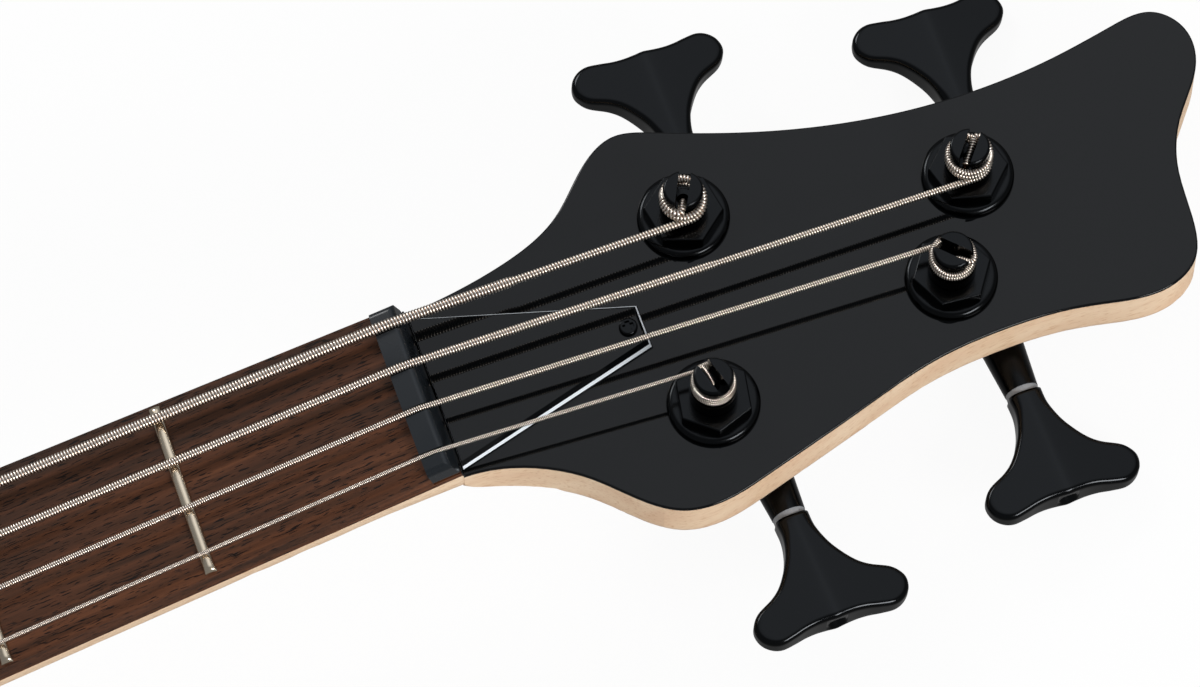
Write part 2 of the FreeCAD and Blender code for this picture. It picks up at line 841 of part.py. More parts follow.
def tuner_bushings():
    """Hexagonal nuts with eased upper edges, whose sleeves line the holes in the headstock."""
    head = hexagon(hex_across, washer_thickness, hex_top)
    head = head.makeFillet(hex_rounding, edges_at_height(head, hex_top))
    sleeve = rod(bushing_radius, vec(0, 0, -head_thickness), vec(0, 0, washer_thickness))
    bore = rod(post_radius + turning_gap, vec(0, 0, -2 * head_thickness), vec(0, 0, post_top))
    solid = joined([head, sleeve]).cut(bore)
    return Part.makeCompound([on_post(solid, name, hex_turn[name]) for name in string_names])


def worm_wheel():
    points = []
    bottom = worm_height - wheel_height / 2
    for tooth in range(wheel_teeth):
        for radius, share in ((wheel_root_radius, 0), (wheel_root_radius, 0.4), (wheel_radius, 0.55),
                              (wheel_radius, 0.85)):
            angle = 2 * math.pi * (tooth + share) / wheel_teeth
            points.append(vec(radius * math.cos(angle), radius * math.sin(angle), bottom))
    return prism(points, vec(0, 0, wheel_height))


def post(name):
    """A string post: wheel, shaft, collar, waist under the turns, and a round-edged head with a slot."""
    shaft = rod(post_radius, vec(0, 0, worm_height), vec(0, 0, hex_top + moving_gap))
    collar = rod(collar_radius, vec(0, 0, hex_top + moving_gap), vec(0, 0, collar_top(name)))
    waist = rod(waist_radius(name), vec(0, 0, hex_top), vec(0, 0, post_top - post_head_height))
    head = rod(post_head_radius, vec(0, 0, waist_top), vec(0, 0, post_top))
    head = head.makeFillet(post_head_rounding, edges_at_height(head, post_top))
    solid = joined([worm_wheel(), shaft, collar, waist, head])
    slot = block(-2 * post_head_radius, 2 * post_head_radius, -post_slot_width / 2, post_slot_width / 2,
                 post_top - post_slot_depth, post_top + overrun)
    hole = rod(post_hole_radius, vec(0, 0, washer_thickness), vec(0, 0, post_top + overrun))
    return on_post(solid.cut(slot).cut(hole), name, slot_turn[name])


def worm_point(outward):
    return vec(worm_offset, outward, worm_height)


def worm(name):
    """A worm on its shaft, and the screw that holds the key on the shaft's end."""
    half = worm_length / 2
    turns = int(worm_length / worm_pitch)
    solid = rod(worm_root_radius, worm_point(-half), worm_point(half))
    ridges = []
    for turn in range(turns):
        low = -half + turn * worm_pitch
        middle = low + worm_pitch / 2
        ridges += [cone(worm_root_radius, worm_radius, worm_point(low), worm_point(middle)),
                   cone(worm_radius, worm_root_radius, worm_point(middle), worm_point(low + worm_pitch))]
    shaft = rod(shaft_radius, worm_point(half), worm_point(shaft_end()))
    solid = joined([solid, shaft] + ridges)
    screw = joined([rod(key_screw_radius, worm_point(shaft_end()), worm_point(screw_seat())),
                    rod(key_screw_head_radius, worm_point(screw_seat()),
                        worm_point(screw_seat() + key_screw_head_height))])
    recess = turned_to(cross_recess(key_screw_head_radius, key_screw_head_height),
                       worm_point(screw_seat() + key_screw_head_height), Y_AXIS * -1)
    return on_tuner(Part.makeCompound([solid, screw.cut(recess)]), name)


def shaft_end():
    return hub_start + key_length * key_bore_share


def screw_seat():
    """Where the key screw's head sits, inside the recess in the middle of the key's end."""
    end_share = key_outline_shares[-1][1]
    return hub_start + key_length * end_share - key_screw_recess - key_screw_head_height / 2


def key(name):
    """A three-lobed key: its outline, thinned from a middle rib to the lobes, on a round hub."""
    half = [(x * key_width, hub_start + y * key_length) for x, y in key_outline_shares]
    around = half + [(-x, y) for x, y in reversed(half[:-1])]
    low = worm_height - key_rib_thickness / 2
    points = [vec(worm_offset + x, y, low) for x, y in around]
    curve = Part.BSplineCurve()
    curve.interpolate(points)
    outline = Part.Wire([curve.toShape(), Part.LineSegment(points[-1], points[0]).toShape()])
    slab = Part.Face(outline).extrude(vec(0, 0, key_rib_thickness))
    rib = key_rib_thickness / 2
    edge = key_edge_thickness / 2
    reach = key_width / 2
    section = [(-reach, -edge), (0, -rib), (reach, -edge), (reach, edge), (0, rib), (-reach, edge)]
    wedge = prism([vec(worm_offset + x, hub_start, worm_height + z) for x, z in section],
                  vec(0, key_length + overrun, 0))
    hub = rod(key_hub_radius, worm_point(hub_start), worm_point(hub_start + key_hub_length))
    bore = rod(shaft_radius, worm_point(hub_start - overrun), worm_point(shaft_end()))
    screw_hole = rod(key_screw_radius, worm_point(shaft_end() - overrun), worm_point(screw_seat()))
    recess = rod(key_screw_head_radius + seat_gap, worm_point(screw_seat()),
                 worm_point(hub_start + key_length))
    solid = joined([slab.common(wedge), hub]).cut(bore).cut(screw_hole).cut(recess)
    solid.rotate(worm_point(0), Y_AXIS, key_turn)
    return on_tuner(solid, name)


def housing_block(bottom, top, inset):
    return rounded_slab(housing_ahead - housing_length + inset, housing_ahead - inset,
                        housing_outward - housing_width + inset, housing_outward - inset,
                        bottom, top, housing_rounding - inset)


def tuner_screw_point(height):
    return vec(housing_ahead - housing_length + tuner_screw_inset,
               housing_outward - housing_width + tuner_screw_inset, height)


def tuner_screws():
    seat = -head_thickness - housing_wall
    shank = rod(tuner_screw_radius, tuner_screw_point(seat), tuner_screw_point(seat + tuner_screw_length))
    head = rod(tuner_screw_head_radius, tuner_screw_point(seat - tuner_screw_head_height),
               tuner_screw_point(seat))
    return four_tuners(joined([shank, head]))


def tuner_housings():
    """Boxes on the back of the headstock with a sleeve for the key's shaft."""
    bottom = -head_thickness - housing_depth
    solid = housing_block(bottom, -head_thickness, 0)
    neck = rod(sleeve_neck_radius, worm_point(housing_outward - housing_wall),
               worm_point(housing_outward + housing_wall))
    sleeve = cone(sleeve_root_radius, sleeve_end_radius, worm_point(housing_outward + sleeve_step),
                  worm_point(sleeve_end))
    hollow = housing_block(bottom - overrun, -head_thickness - housing_wall, housing_wall)
    shaft_bore = rod(shaft_radius + turning_gap, worm_point(0), worm_point(sleeve_end + overrun))
    post_bore = rod(post_radius + turning_gap, vec(0, 0, bottom), vec(0, 0, overrun))
    screw_hole = rod(tuner_screw_radius, tuner_screw_point(bottom), tuner_screw_point(0))
    solid = joined([solid, neck, sleeve]).cut(hollow).cut(shaft_bore).cut(post_bore).cut(screw_hole)
    return four_tuners(solid)


def tuner_covers():
    bottom = -head_thickness - housing_depth
    lid = housing_block(bottom - housing_cover_thickness, bottom, 0)
    rim = edges_at_height(lid, bottom - housing_cover_thickness)
    return four_tuners(lid.makeFillet(housing_cover_thickness / 2, rim))


def key_washers():
    ring = rod(key_washer_radius, worm_point(sleeve_end), worm_point(hub_start - turning_gap))
    bore = rod(shaft_radius + turning_gap, worm_point(0), worm_point(hub_start))
    return four_tuners(ring.cut(bore))


# Strings and their ball ends

def string(name):
    straight, wound = string_edges(name)
    radius = string_diameter[name] / 2
    solid = tube(straight + wound, radius)
    length = sum(edge.Length for edge in straight + wound)
    gap = least_gap(wound, string_diameter[name], math.pi * winding_radius(name))
    print("string", name, "length", round(length, 1), "volume over section",
          round(solid.Volume / (math.pi * radius ** 2 * length), 4), "least gap", round(gap, 2))
    return solid


def ball_ends():
    """Short barrels behind the bridge's wall, each standing across the end of a string."""
    balls = []
    for name in string_names:
        middle = anchor_point(name) - X_AXIS * (ball_radius + moving_gap)
        half = Z_AXIS * (ball_length / 2)
        balls.append(rod(ball_radius, middle - half, middle + half))
    return Part.makeCompound(balls)


# Bridge

def bridge_base():
    half = bridge_width / 2
    wall_front = wall_back() + bridge_wall_thickness
    plate = block(wall_back(), bridge_front, -half, half, body_thickness, plate_top)
    wall = block(wall_back(), wall_front, -half, half, body_thickness, body_thickness + bridge_wall_height)
    upper = [edge for edge in wall.Edges
             if edge.BoundBox.YLength > half and edge.BoundBox.ZMin > plate_top]
    wall = wall.makeFillet(bridge_rounding, upper)
    solid = joined([plate, wall])
    for name in string_names:
        start = anchor_point(name)
        heading = (saddle_point(name) - start).normalize() * (bridge_wall_thickness + overrun)
        solid = solid.cut(rod(anchor_radius, start - heading, start + heading))
        solid = solid.cut(intonation_rod(name, intonation_radius + seat_gap))
    holes = [countersunk_hole(place, bridge_screw_radius, bridge_screw_head_radius, bridge_screw_head_height)
             for place in bridge_screw_places()]
    return solid.cut(Part.makeCompound(holes))


def wall_back():
    """The wall's back face, a little ahead of the strings' leaning ends."""
    return -bridge_back + moving_gap


def countersunk_hole(place, radius, head_radius, head_height):
    shank = rod(radius, place - Z_AXIS * (head_height + overrun), place)
    head = cone(head_radius, radius, place, place - Z_AXIS * head_height)
    return joined([shank, head])


def bridge_screw_places():
    """A row in front of the saddles."""
    span = bridge_width - 4 * bridge_screw_head_radius
    x = bridge_front - 3 * bridge_screw_radius
    return [vec(x, span * (place / (bridge_screw_count - 1) - 1 / 2), plate_top)
            for place in range(bridge_screw_count)]


def screws_down(places, radius, head_radius, head_height, length):
    screw = countersunk_screw(radius, head_radius, head_height, length)
    return [turned_to(screw, place, Z_AXIS * -1) for place in places]


def bridge_screws():
    return Part.makeCompound(screws_down(bridge_screw_places(), bridge_screw_radius, bridge_screw_head_radius,
                                         bridge_screw_head_height, bridge_screw_length))


def intonation_line(name, x):
    return vec(x, string_place_shares[name] * bridge_spacing, body_thickness + intonation_height)


def intonation_rod(name, radius):
    return rod(radius, intonation_line(name, wall_back()), intonation_line(name, -saddle_setback[name]))


def intonation_screws():
    screws = []
    for name in string_names:
        head = rod(intonation_head_radius, intonation_line(name, wall_back() - intonation_head_height),
                   intonation_line(name, wall_back()))
        recess = turned_to(cross_recess(intonation_head_radius, intonation_head_height),
                           intonation_line(name, wall_back() - intonation_head_height), X_AXIS)
        screws.append(joined([intonation_rod(name, intonation_radius), head.cut(recess)]))
    return Part.makeCompound(screws)


def saddle_profile(name, rise):
    """A saddle seen from the side, rounded where the string breaks over it."""
    crest = saddle_point(name) - Z_AXIS * (string_diameter[name] / 2 + moving_gap - rise)
    side = saddle_crest_radius * saddle_crest_share
    drop = saddle_crest_radius - math.sqrt(saddle_crest_radius ** 2 - side ** 2)
    back = crest.x - saddle_behind
    front = crest.x + saddle_ahead
    bottom = plate_top + saddle_underside
    shoulder = crest.z - saddle_crest_radius
    points = [vec(crest.x + side, 0, crest.z - drop), vec(front, 0, shoulder), vec(front, 0, bottom),
              vec(back, 0, bottom), vec(back, 0, shoulder), vec(crest.x - side, 0, crest.z - drop)]
    top = Part.Arc(points[-1], vec(crest.x, 0, crest.z), points[0]).toShape()
    return Part.Face(Part.Wire([top] + Part.makePolygon(points).Edges))


def saddle(name):
    """A saddle with cheeks beside its string, and its two height screws."""
    y = string_place_shares[name] * bridge_spacing
    groove = string_diameter[name] / 2 + moving_gap
    cheek = saddle_width / 2 - groove
    middle = saddle_profile(name, 0).extrude(vec(0, saddle_width, 0))
    cheeks = [saddle_profile(name, saddle_cheek_rise).extrude(vec(0, cheek, 0)) for side in (0, 1)]
    middle.translate(vec(0, y - saddle_width / 2, 0))
    cheeks[0].translate(vec(0, y - saddle_width / 2, 0))
    cheeks[1].translate(vec(0, y + groove, 0))
    solid = joined([middle] + cheeks)
    solid = solid.cut(rod(intonation_radius + turning_gap, intonation_line(name, wall_back()),
                          intonation_line(name, bridge_front)))
    x = -saddle_setback[name] - saddle_behind / 2
    top = saddle_point(name).z - saddle_crest_radius
    screws = []
    for side in (1, -1):
        foot = vec(x, y + side * height_screw_spread / 2, plate_top + turning_gap)
        head = vec(foot.x, foot.y, top - height_screw_sink)
        solid = solid.cut(rod(height_screw_radius, foot, head + Z_AXIS * (2 * saddle_crest_radius)))
        socket = turned_to(hexagon(height_screw_radius, 0, height_screw_radius), head, Z_AXIS * -1)
        screws.append(rod(height_screw_radius, foot, head).cut(socket))
    return Part.makeCompound([solid] + screws)


# Body

def body_point(share):
    return vec(share[0] * body_length - body_tail, share[1] * body_width, 0)


def body_curve():
    curve = Part.BSplineCurve()
    curve.interpolate(Points=[body_point(share) for share in body_outline_shares], PeriodicFlag=True)
    return curve


def tightest_bend(curve):
    """The least radius of the outline, looked for at even steps around it."""
    whole = curve.LastParameter - curve.FirstParameter
    places = [curve.FirstParameter + whole * step / bend_step_count for step in range(bend_step_count)]
    return 1 / max(curve.curvature(place) for place in places)


def edge_seat(share, sink):
    """A place on the body's side at half its thickness, and the way out of the body there."""
    curve = body_curve()
    point = body_point(share)
    along = curve.tangent(curve.parameter(point))[0]
    outward = vec(-along.y, along.x, 0).normalize()
    return point + Z_AXIS * (body_thickness / 2) - outward * sink, outward


def body():
    curve = body_curve()
    slab = Part.Face(Part.Wire(curve.toShape())).extrude(vec(0, 0, body_thickness))
    rounding = min(body_rounding, tightest_bend(curve) * rounding_bend_share)
    slab = slab.makeFillet(rounding, edges_at_height(slab, 0) + edges_at_height(slab, body_thickness))
    cuts = [taper(board_end - seat_gap, board_end + heel_length + heel_slope_length,
                  body_thickness - pocket_depth, body_thickness + overrun, seat_gap)]
    cuts += [pickup_slab(x, seat_gap, body_thickness - pickup_pocket_depth, body_thickness + overrun)
             for x in pickup_places()]
    cuts += [cavity_slab(0, -overrun, body_thickness - cavity_top_wall),
             cavity_slab(control_cover_lip + seat_gap, -overrun, control_cover_thickness)]
    cuts += [rod(pot_bushing_radius + seat_gap, pot_point(name, 0), pot_point(name, body_thickness + overrun))
             for name in knob_along]
    cuts += [plate_slab(-overrun, plate_thickness, seat_gap)]
    cuts += [neck_screw_hole(place) for place in plate_screw_places()]
    cuts += [rod(bridge_screw_radius, place, place - Z_AXIS * bridge_screw_length)
             for place in bridge_screw_places()]
    cuts += [rod(pickup_screw_radius, place, pickup_screw_end(place)) for place in pickup_screw_places()]
    cuts += [rod(small_screw_radius, place, place + Z_AXIS * small_screw_length)
             for place in cover_screw_places()]
    seat, outward = edge_seat(jack_share, jack_plate_sink)
    cuts += [rod(jack_plate_radius + seat_gap, seat, seat + outward * (jack_plate_radius + overrun)),
             rod(jack_radius + seat_gap, seat - outward * jack_length, seat + outward * overrun)]
    for share in (tail_share, horn_share):
        seat, outward = edge_seat(share, button_seat_sink)
        cuts += [rod(button_radius + seat_gap, seat, seat + outward * (button_length + overrun)),
                 rod(button_screw_radius, seat - outward * button_screw_grip(), seat + outward * overrun)]
    return slab.cut(cuts)


def plate_slab(bottom, top, gap):
    x = board_end + plate_gap_from_end
    return rounded_slab(x - gap, x + plate_length + gap, -plate_width / 2 - gap, plate_width / 2 + gap,
                        bottom, top, plate_corner + gap)


def plate_screw_places():
    x = board_end + plate_gap_from_end
    across = plate_width / 2 - plate_screw_inset
    return [vec(place, side * across, 0) for side in (1, -1)
            for place in (x + plate_screw_inset, x + plate_length - plate_screw_inset)]


def neck_screw_hole(place):
    return rod(neck_screw_radius, place - Z_AXIS * overrun, place + Z_AXIS * neck_screw_length)


def neck_plate():
    heads = [cone(neck_screw_head_radius, neck_screw_radius, place, place + Z_AXIS * neck_screw_head_height)
             for place in plate_screw_places()]
    holes = [neck_screw_hole(place) for place in plate_screw_places()]
    return plate_slab(0, plate_thickness, 0).cut(heads + holes)


def screws_up(places, radius, head_radius, head_height, length):
    screw = countersunk_screw(radius, head_radius, head_height, length)
    return [turned_to(screw, place, Z_AXIS) for place in places]


def neck_screws():
    return Part.makeCompound(screws_up(plate_screw_places(), neck_screw_radius, neck_screw_head_radius,
                                       neck_screw_head_height, neck_screw_length))


# Pickups

def pickup_places():
    neck_side = board_end - neck_pickup_gap - pickup_length / 2
    bridge_side = bridge_front + bridge_pickup_gap + pickup_length / 2
    return [neck_side, bridge_side]


def pickup_slab(x, gap, bottom, top):
    return rounded_slab(x - pickup_length / 2 - gap, x + pickup_length / 2 + gap, -pickup_width / 2 - gap,
                        pickup_width / 2 + gap, bottom, top, pickup_corner + gap)


def pickup_screw_places():
    top = body_thickness + pickup_above_body
    return [vec(x, side * (pickup_width / 2 - pickup_screw_inset), top) for x in pickup_places()
            for side in (1, -1)]


def pickup_screw_end(place):
    return vec(place.x, place.y, body_thickness - pickup_pocket_depth - pickup_screw_grip)


def pickup_cover(x):
    """A shell open below, with solid ends for its two screws."""
    bottom = body_thickness - pickup_pocket_depth
    top = body_thickness + pickup_above_body
    shell = pickup_slab(x, 0, bottom, top)
    rim = edges_at_height(shell, top)
    shell = shell.makeFillet(pickup_wall / 2, rim)
    inner_width = coil_width / 2 + pickup_wall
    hollow = block(x - pickup_length / 2 + pickup_wall, x + pickup_length / 2 - pickup_wall, -inner_width,
                   inner_width, bottom - overrun, top - pickup_wall)
    holes = []
    for place in pickup_screw_places():
        if abs(place.x - x) < pickup_length / 2:
            holes += [countersunk_hole(place, pickup_screw_radius, pickup_screw_head_radius,
                                       pickup_screw_head_height),
                      rod(pickup_screw_radius, place, pickup_screw_end(place))]
    return shell.cut([hollow] + holes)


def coil_places():
    return [x + side * (coil_length + pickup_wall) / 2 for x in pickup_places() for side in (1, -1)]


def coil_block(x, length, width):
    bottom = body_thickness - pickup_pocket_depth
    return block(x - length / 2, x + length / 2, -width / 2, width / 2, bottom, bottom + coil_height)


def pickup_coils():
    coils = []
    for x in coil_places():
        winding = coil_block(x, coil_length, coil_width)
        coils.append(winding.cut(coil_block(x, magnet_length, magnet_width)))
    return Part.makeCompound(coils)


def pickup_magnets():
    return Part.makeCompound([coil_block(x, magnet_length, magnet_width) for x in coil_places()])


# Controls

def pot_point(name, height):
    return vec(knob_along[name], knob_across, height)


def cavity_slab(lip, bottom, top):
    low = min(knob_along.values()) - cavity_margin - lip
    high = max(knob_along.values()) + cavity_margin + lip
    reach = cavity_half_width + lip
    return rounded_slab(low, high, knob_across - reach, knob_across + reach, bottom, top, cavity_corner)


def cover_screw_places():
    low = min(knob_along.values()) - cavity_margin
    high = max(knob_along.values()) + cavity_margin
    return [vec(x, knob_across + side * (cavity_half_width + control_cover_lip / 2), 0)
            for x in (low + cavity_margin, high - cavity_margin) for side in (1, -1)]


def control_cover():
    plate = cavity_slab(control_cover_lip, 0, control_cover_thickness)
    holes = []
    for place in cover_screw_places():
        holes += [rod(small_screw_radius, place, place + Z_AXIS * small_screw_length),
                  cone(small_screw_head_radius, small_screw_radius, place,
                       place + Z_AXIS * small_screw_head_height)]
    return plate.cut(holes)


def small_screws():
    """Screws of the control cover and of the pickups."""
    cover = screws_up(cover_screw_places(), small_screw_radius, small_screw_head_radius,
                      small_screw_head_height, small_screw_length)
    length = pickup_above_body + pickup_pocket_depth + pickup_screw_grip
    pickup = screws_down(pickup_screw_places(), pickup_screw_radius, pickup_screw_head_radius,
                         pickup_screw_head_height, length)
    return Part.makeCompound(cover + pickup)


def potentiometers():
    top = body_thickness - cavity_top_wall
    pots = []
    for name in knob_along:
        case = rod(pot_radius, pot_point(name, top - pot_height), pot_point(name, top))
        bushing = rod(pot_bushing_radius, pot_point(name, top),
                      pot_point(name, body_thickness + pot_bushing_rise))
        bore = rod(pot_shaft_radius + turning_gap, pot_point(name, top - pot_shaft_in_pot - moving_gap),
                   pot_point(name, body_thickness + knob_height))
        pots.append(joined([case, bushing]).cut(bore))
    return Part.makeCompound(pots)


def pot_nuts():
    nuts = []
    for name in knob_along:
        ring = hexagon(pot_nut_across, 0, pot_nut_height)
        ring = ring.cut(Part.makeCylinder(pot_bushing_radius + seat_gap, pot_nut_height))
        ring.translate(pot_point(name, body_thickness))
        nuts.append(ring)
    return Part.makeCompound(nuts)


def knob(name):
    """A knob with a pointer groove, and the shaft that it turns."""
    bottom = body_thickness + knob_lift
    top = bottom + knob_height
    solid = rod(knob_radius, pot_point(name, bottom), pot_point(name, top))
    solid = solid.makeFillet(knob_rounding, edges_at_height(solid, top))
    recess = rod(knob_recess_radius, pot_point(name, bottom - overrun),
                 pot_point(name, bottom + knob_recess_depth))
    shaft_top = top - knob_height / 4
    shaft = rod(pot_shaft_radius, pot_point(name, body_thickness - cavity_top_wall - pot_shaft_in_pot),
                pot_point(name, shaft_top))
    groove = block(0, knob_radius + overrun, -knob_pointer_width / 2, knob_pointer_width / 2,
                   -knob_pointer_depth, overrun)
    groove.translate(pot_point(name, top))
    return Part.makeCompound([solid.cut([recess, shaft, groove]), shaft])


def wiring():
    """Wires from pot to pot and to the jack, and the tone capacitor under the middle pot."""
    height = body_thickness - cavity_top_wall - pot_height / 2
    names = list(knob_along)
    wires = []
    for first, second in zip(names, names[1:]):
        start = pot_point(first, height)
        end = pot_point(second, height)
        way = (end - start).normalize() * (pot_radius + seat_gap)
        wires.append(rod(wire_radius, start + way, end - way))
    seat, outward = edge_seat(jack_share, jack_plate_sink)
    pot_bottom = body_thickness - cavity_top_wall - pot_height
    jack_end = seat - outward * (jack_length + wire_radius)
    lug = pot_point("tone", pot_bottom - wire_radius) + Y_AXIS * (pot_radius / 2)
    wires.append(rod(wire_radius, jack_end, lug))
    middle = pot_point("blend", pot_bottom - seat_gap - capacitor_radius)
    half = X_AXIS * (capacitor_length / 2)
    return Part.makeCompound(wires + [rod(capacitor_radius, middle - half, middle + half)])


# Output jack, strap buttons

def output_jack():
    seat, outward = edge_seat(jack_share, jack_plate_sink)
    front = seat + outward * jack_plate_thickness
    barrel = rod(jack_radius, seat - outward * jack_length, front)
    return barrel.cut(rod(jack_bore_radius, front - outward * jack_bore_length, front))


def jack_plate():
    seat, outward = edge_seat(jack_share, jack_plate_sink)
    front = seat + outward * jack_plate_thickness
    plate = rod(jack_plate_radius, seat, front)
    return plate.cut(rod(jack_radius, seat - outward * overrun, front + outward * overrun))


def button_screw_grip():
    return button_screw_length - button_length


def strap_buttons():
    buttons = []
    for share in (tail_share, horn_share):
        seat, outward = edge_seat(share, button_seat_sink)
        end = seat + outward * button_length
        lip = rod(button_radius, end - outward * button_lip, end)
        waist = cone(button_radius - seat_gap, button_waist_radius, seat, end - outward * button_lip)
        hole = rod(button_screw_radius, seat - outward * overrun, end + outward * overrun)
        sink = cone(button_screw_head_radius, button_screw_radius, end,
                    end - outward * button_screw_head_height)
        buttons.append(joined([lip, waist]).cut([hole, sink]))
    return Part.makeCompound(buttons)


def strap_screws():
    screw = countersunk_screw(button_screw_radius, button_screw_head_radius, button_screw_head_height,
                              button_screw_length)
    screws = []
    for share in (tail_share, horn_share):
        seat, outward = edge_seat(share, button_seat_sink)
        screws.append(turned_to(screw, seat + outward * button_length, outward * -1))
    return Part.makeCompound(screws)


def all_pieces():
    neck_x, bridge_x = pickup_places()
    pieces = {
        "body": body(), "neck": neck(), "headstock_face": headstock_face(), "fingerboard": fingerboard(),
        "frets": frets(), "position_dots": position_dots(), "nut": nut(),
        "truss_rod": truss_rod(), "truss_rod_nut": truss_rod_nut(),
        "truss_cover_black_plies": truss_cover_black_plies(),
        "truss_cover_white_ply": truss_cover_white_ply(), "truss_cover_screw": truss_cover_screw(),
        "tuner_housings": tuner_housings(), "tuner_covers": tuner_covers(), "tuner_screws": tuner_screws(),
        "tuner_bushings": tuner_bushings(), "tuner_washers": tuner_washers(), "key_washers": key_washers(),
        "ball_ends": ball_ends(), "bridge_base": bridge_base(), "bridge_screws": bridge_screws(),
        "intonation_screws": intonation_screws(),
        "neck_pickup_cover": pickup_cover(neck_x), "bridge_pickup_cover": pickup_cover(bridge_x),
        "pickup_coils": pickup_coils(), "pickup_magnets": pickup_magnets(),
        "potentiometers": potentiometers(), "pot_nuts": pot_nuts(), "control_cover": control_cover(),
        "small_screws": small_screws(), "wiring": wiring(), "output_jack": output_jack(),
        "jack_plate": jack_plate(), "neck_plate": neck_plate(), "neck_screws": neck_screws(),
        "strap_buttons": strap_buttons(), "strap_screws": strap_screws(),
    }
    for name in string_names:
        pieces["string_" + name] = string(name)
        pieces["post_" + name] = post(name)
        pieces["worm_" + name] = worm(name)
        pieces["key_" + name] = key(name)
        pieces["saddle_" + name] = saddle(name)
    for name in knob_along:
        pieces["knob_" + name] = knob(name)
    return pieces


def main():
    os.makedirs("parts", exist_ok=True)
    for name, shape in all_pieces().items():
        shape.exportStep(os.path.join("parts", name + ".step"))


if __name__ == "__main__":
    main()
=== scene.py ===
import json
import math

import bpy
import numpy as np
from mathutils import Matrix, Vector


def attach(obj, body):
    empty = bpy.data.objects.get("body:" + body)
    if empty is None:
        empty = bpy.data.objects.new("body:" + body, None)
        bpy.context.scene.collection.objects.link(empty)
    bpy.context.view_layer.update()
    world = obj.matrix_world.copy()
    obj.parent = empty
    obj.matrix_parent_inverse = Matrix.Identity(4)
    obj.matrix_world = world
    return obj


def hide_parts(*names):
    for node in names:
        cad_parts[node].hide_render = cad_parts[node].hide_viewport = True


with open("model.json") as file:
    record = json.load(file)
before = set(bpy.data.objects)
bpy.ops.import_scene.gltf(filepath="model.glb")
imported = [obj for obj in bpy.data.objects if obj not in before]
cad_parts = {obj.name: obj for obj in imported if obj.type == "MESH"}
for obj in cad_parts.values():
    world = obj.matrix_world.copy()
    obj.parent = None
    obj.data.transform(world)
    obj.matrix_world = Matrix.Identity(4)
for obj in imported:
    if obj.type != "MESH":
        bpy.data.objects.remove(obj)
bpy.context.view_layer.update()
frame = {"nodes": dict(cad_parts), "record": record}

# Sizes of the solids that the new pieces follow, in millimetres and degrees
MM = 0.001
string_names = ("e", "a", "d", "g")
string_diameter = {"e": 2.41, "a": 1.90, "d": 1.40, "g": 1.02}
string_place = {"e": 1.5, "a": 0.5, "d": -0.5, "g": -1.5}
winding_diameter = {"e": 1.80, "a": 1.56, "d": 1.40, "g": 1.02}
taper_share = {"e": 0.43, "a": 0.54, "d": 0.5, "g": 0.5}
taper_length = 2.0
wrap_pitch = {"e": 0.66, "a": 0.58, "d": 0.48, "g": 0.36}
wrap_sides = {"e": 10, "a": 10, "d": 8, "g": 7}
scale_length = 863.6
nut_spacing = 9.87
bridge_spacing = 19.0
nut_lift = 1.5
bridge_lift = 5.3
body_thickness = 46.0
board_top = 61.0
board_radius = 305.0
board_end = 205.9
board_end_width = 62.0
nut_width = 38.1
nut_top_length = 5.2
saddle_setback = {"e": 3.5, "a": 2.5, "d": 1.5, "g": 0.5}
bridge_back = 48.0
anchor_height = 13.2
bend_reach = 4.0
fret_count = 24
fret_width = 2.7
fret_height = 1.2
fret_inset = 0.6
fret_end_round = 1.3
head_angle = math.radians(12.8)
head_origin = np.array([869.6, 0.0, 54.5])
head_axes = np.array([[math.cos(head_angle), 0.0, -math.sin(head_angle)],
                      [0.0, 1.0, 0.0],
                      [math.sin(head_angle), 0.0, math.cos(head_angle)]])
post_along = {"e": 61.2, "a": 119.7, "d": 108.4, "g": 53.1}
post_across = {"e": 20.5, "a": 9.8, "d": -10.8, "g": -20.8}
tuner_side = {"e": 1, "a": 1, "d": -1, "g": -1}
tuner_lean = {"e": -1.0, "a": 0.0, "d": 1.5, "g": 3.0}
winding_quarters = {"e": 7, "a": 9, "d": 9, "g": 11}
winding_height = {"e": 7.4, "a": 7.2, "d": 8.55, "g": 8.95}
winding_outer_radius = {"e": 5.05, "a": 5.05, "d": 4.9, "g": 4.7}
winding_spacing = 0.03
mouth_angle = {"e": 244.0, "a": 52.0, "d": -46.0, "g": 106.0}
mouth_clearance = 20.0
# A string's end in its slot: shares of the winding's radius outward, and of its diameter down
tail_shares = {
    "e": ((1.05, 0.0), (0.6, 0.1), (0.25, 0.6), (0.05, 1.6), (0.0, 3.5)),
    "a": ((1.0, 0.0), (0.55, 0.1), (0.0, 0.35), (-0.5, 0.65), (-0.75, 0.85)),
    "d": ((1.05, 0.0), (0.6, 0.1), (0.3, 0.6), (0.1, 1.5), (0.0, 2.6)),
    "g": ((1.05, 0.0), (0.6, 0.1), (0.3, 0.6), (0.1, 1.5), (0.0, 2.6)),
}
worm_offset = 7.9
worm_height = -20.0
hub_start = 22.5
key_width = 33.8
key_length = 25.3
key_turn = math.radians(3.5)
key_rib_thickness = 7.6
key_edge_thickness = 3.6
key_edge_round = 1.1
key_hub_round = 1.9
key_hub_fade = 7.0
key_ridge_round = 0.9
key_screw_hole_radius = 2.05
key_screw_hole_depth = 3.0
key_screw_margin = 2.95
key_outline_shares = np.array([
    (0.107, 0.000), (0.107, 0.138), (0.133, 0.276), (0.178, 0.395), (0.247, 0.521), (0.320, 0.600),
    (0.432, 0.673), (0.485, 0.750), (0.500, 0.825), (0.481, 0.911), (0.432, 0.974), (0.367, 1.000),
    (0.281, 0.984), (0.207, 0.963), (0.133, 0.953), (0.059, 0.955), (0.000, 0.961),
])
# The row of that outline at the top of a lobe
key_lobe_place = 11

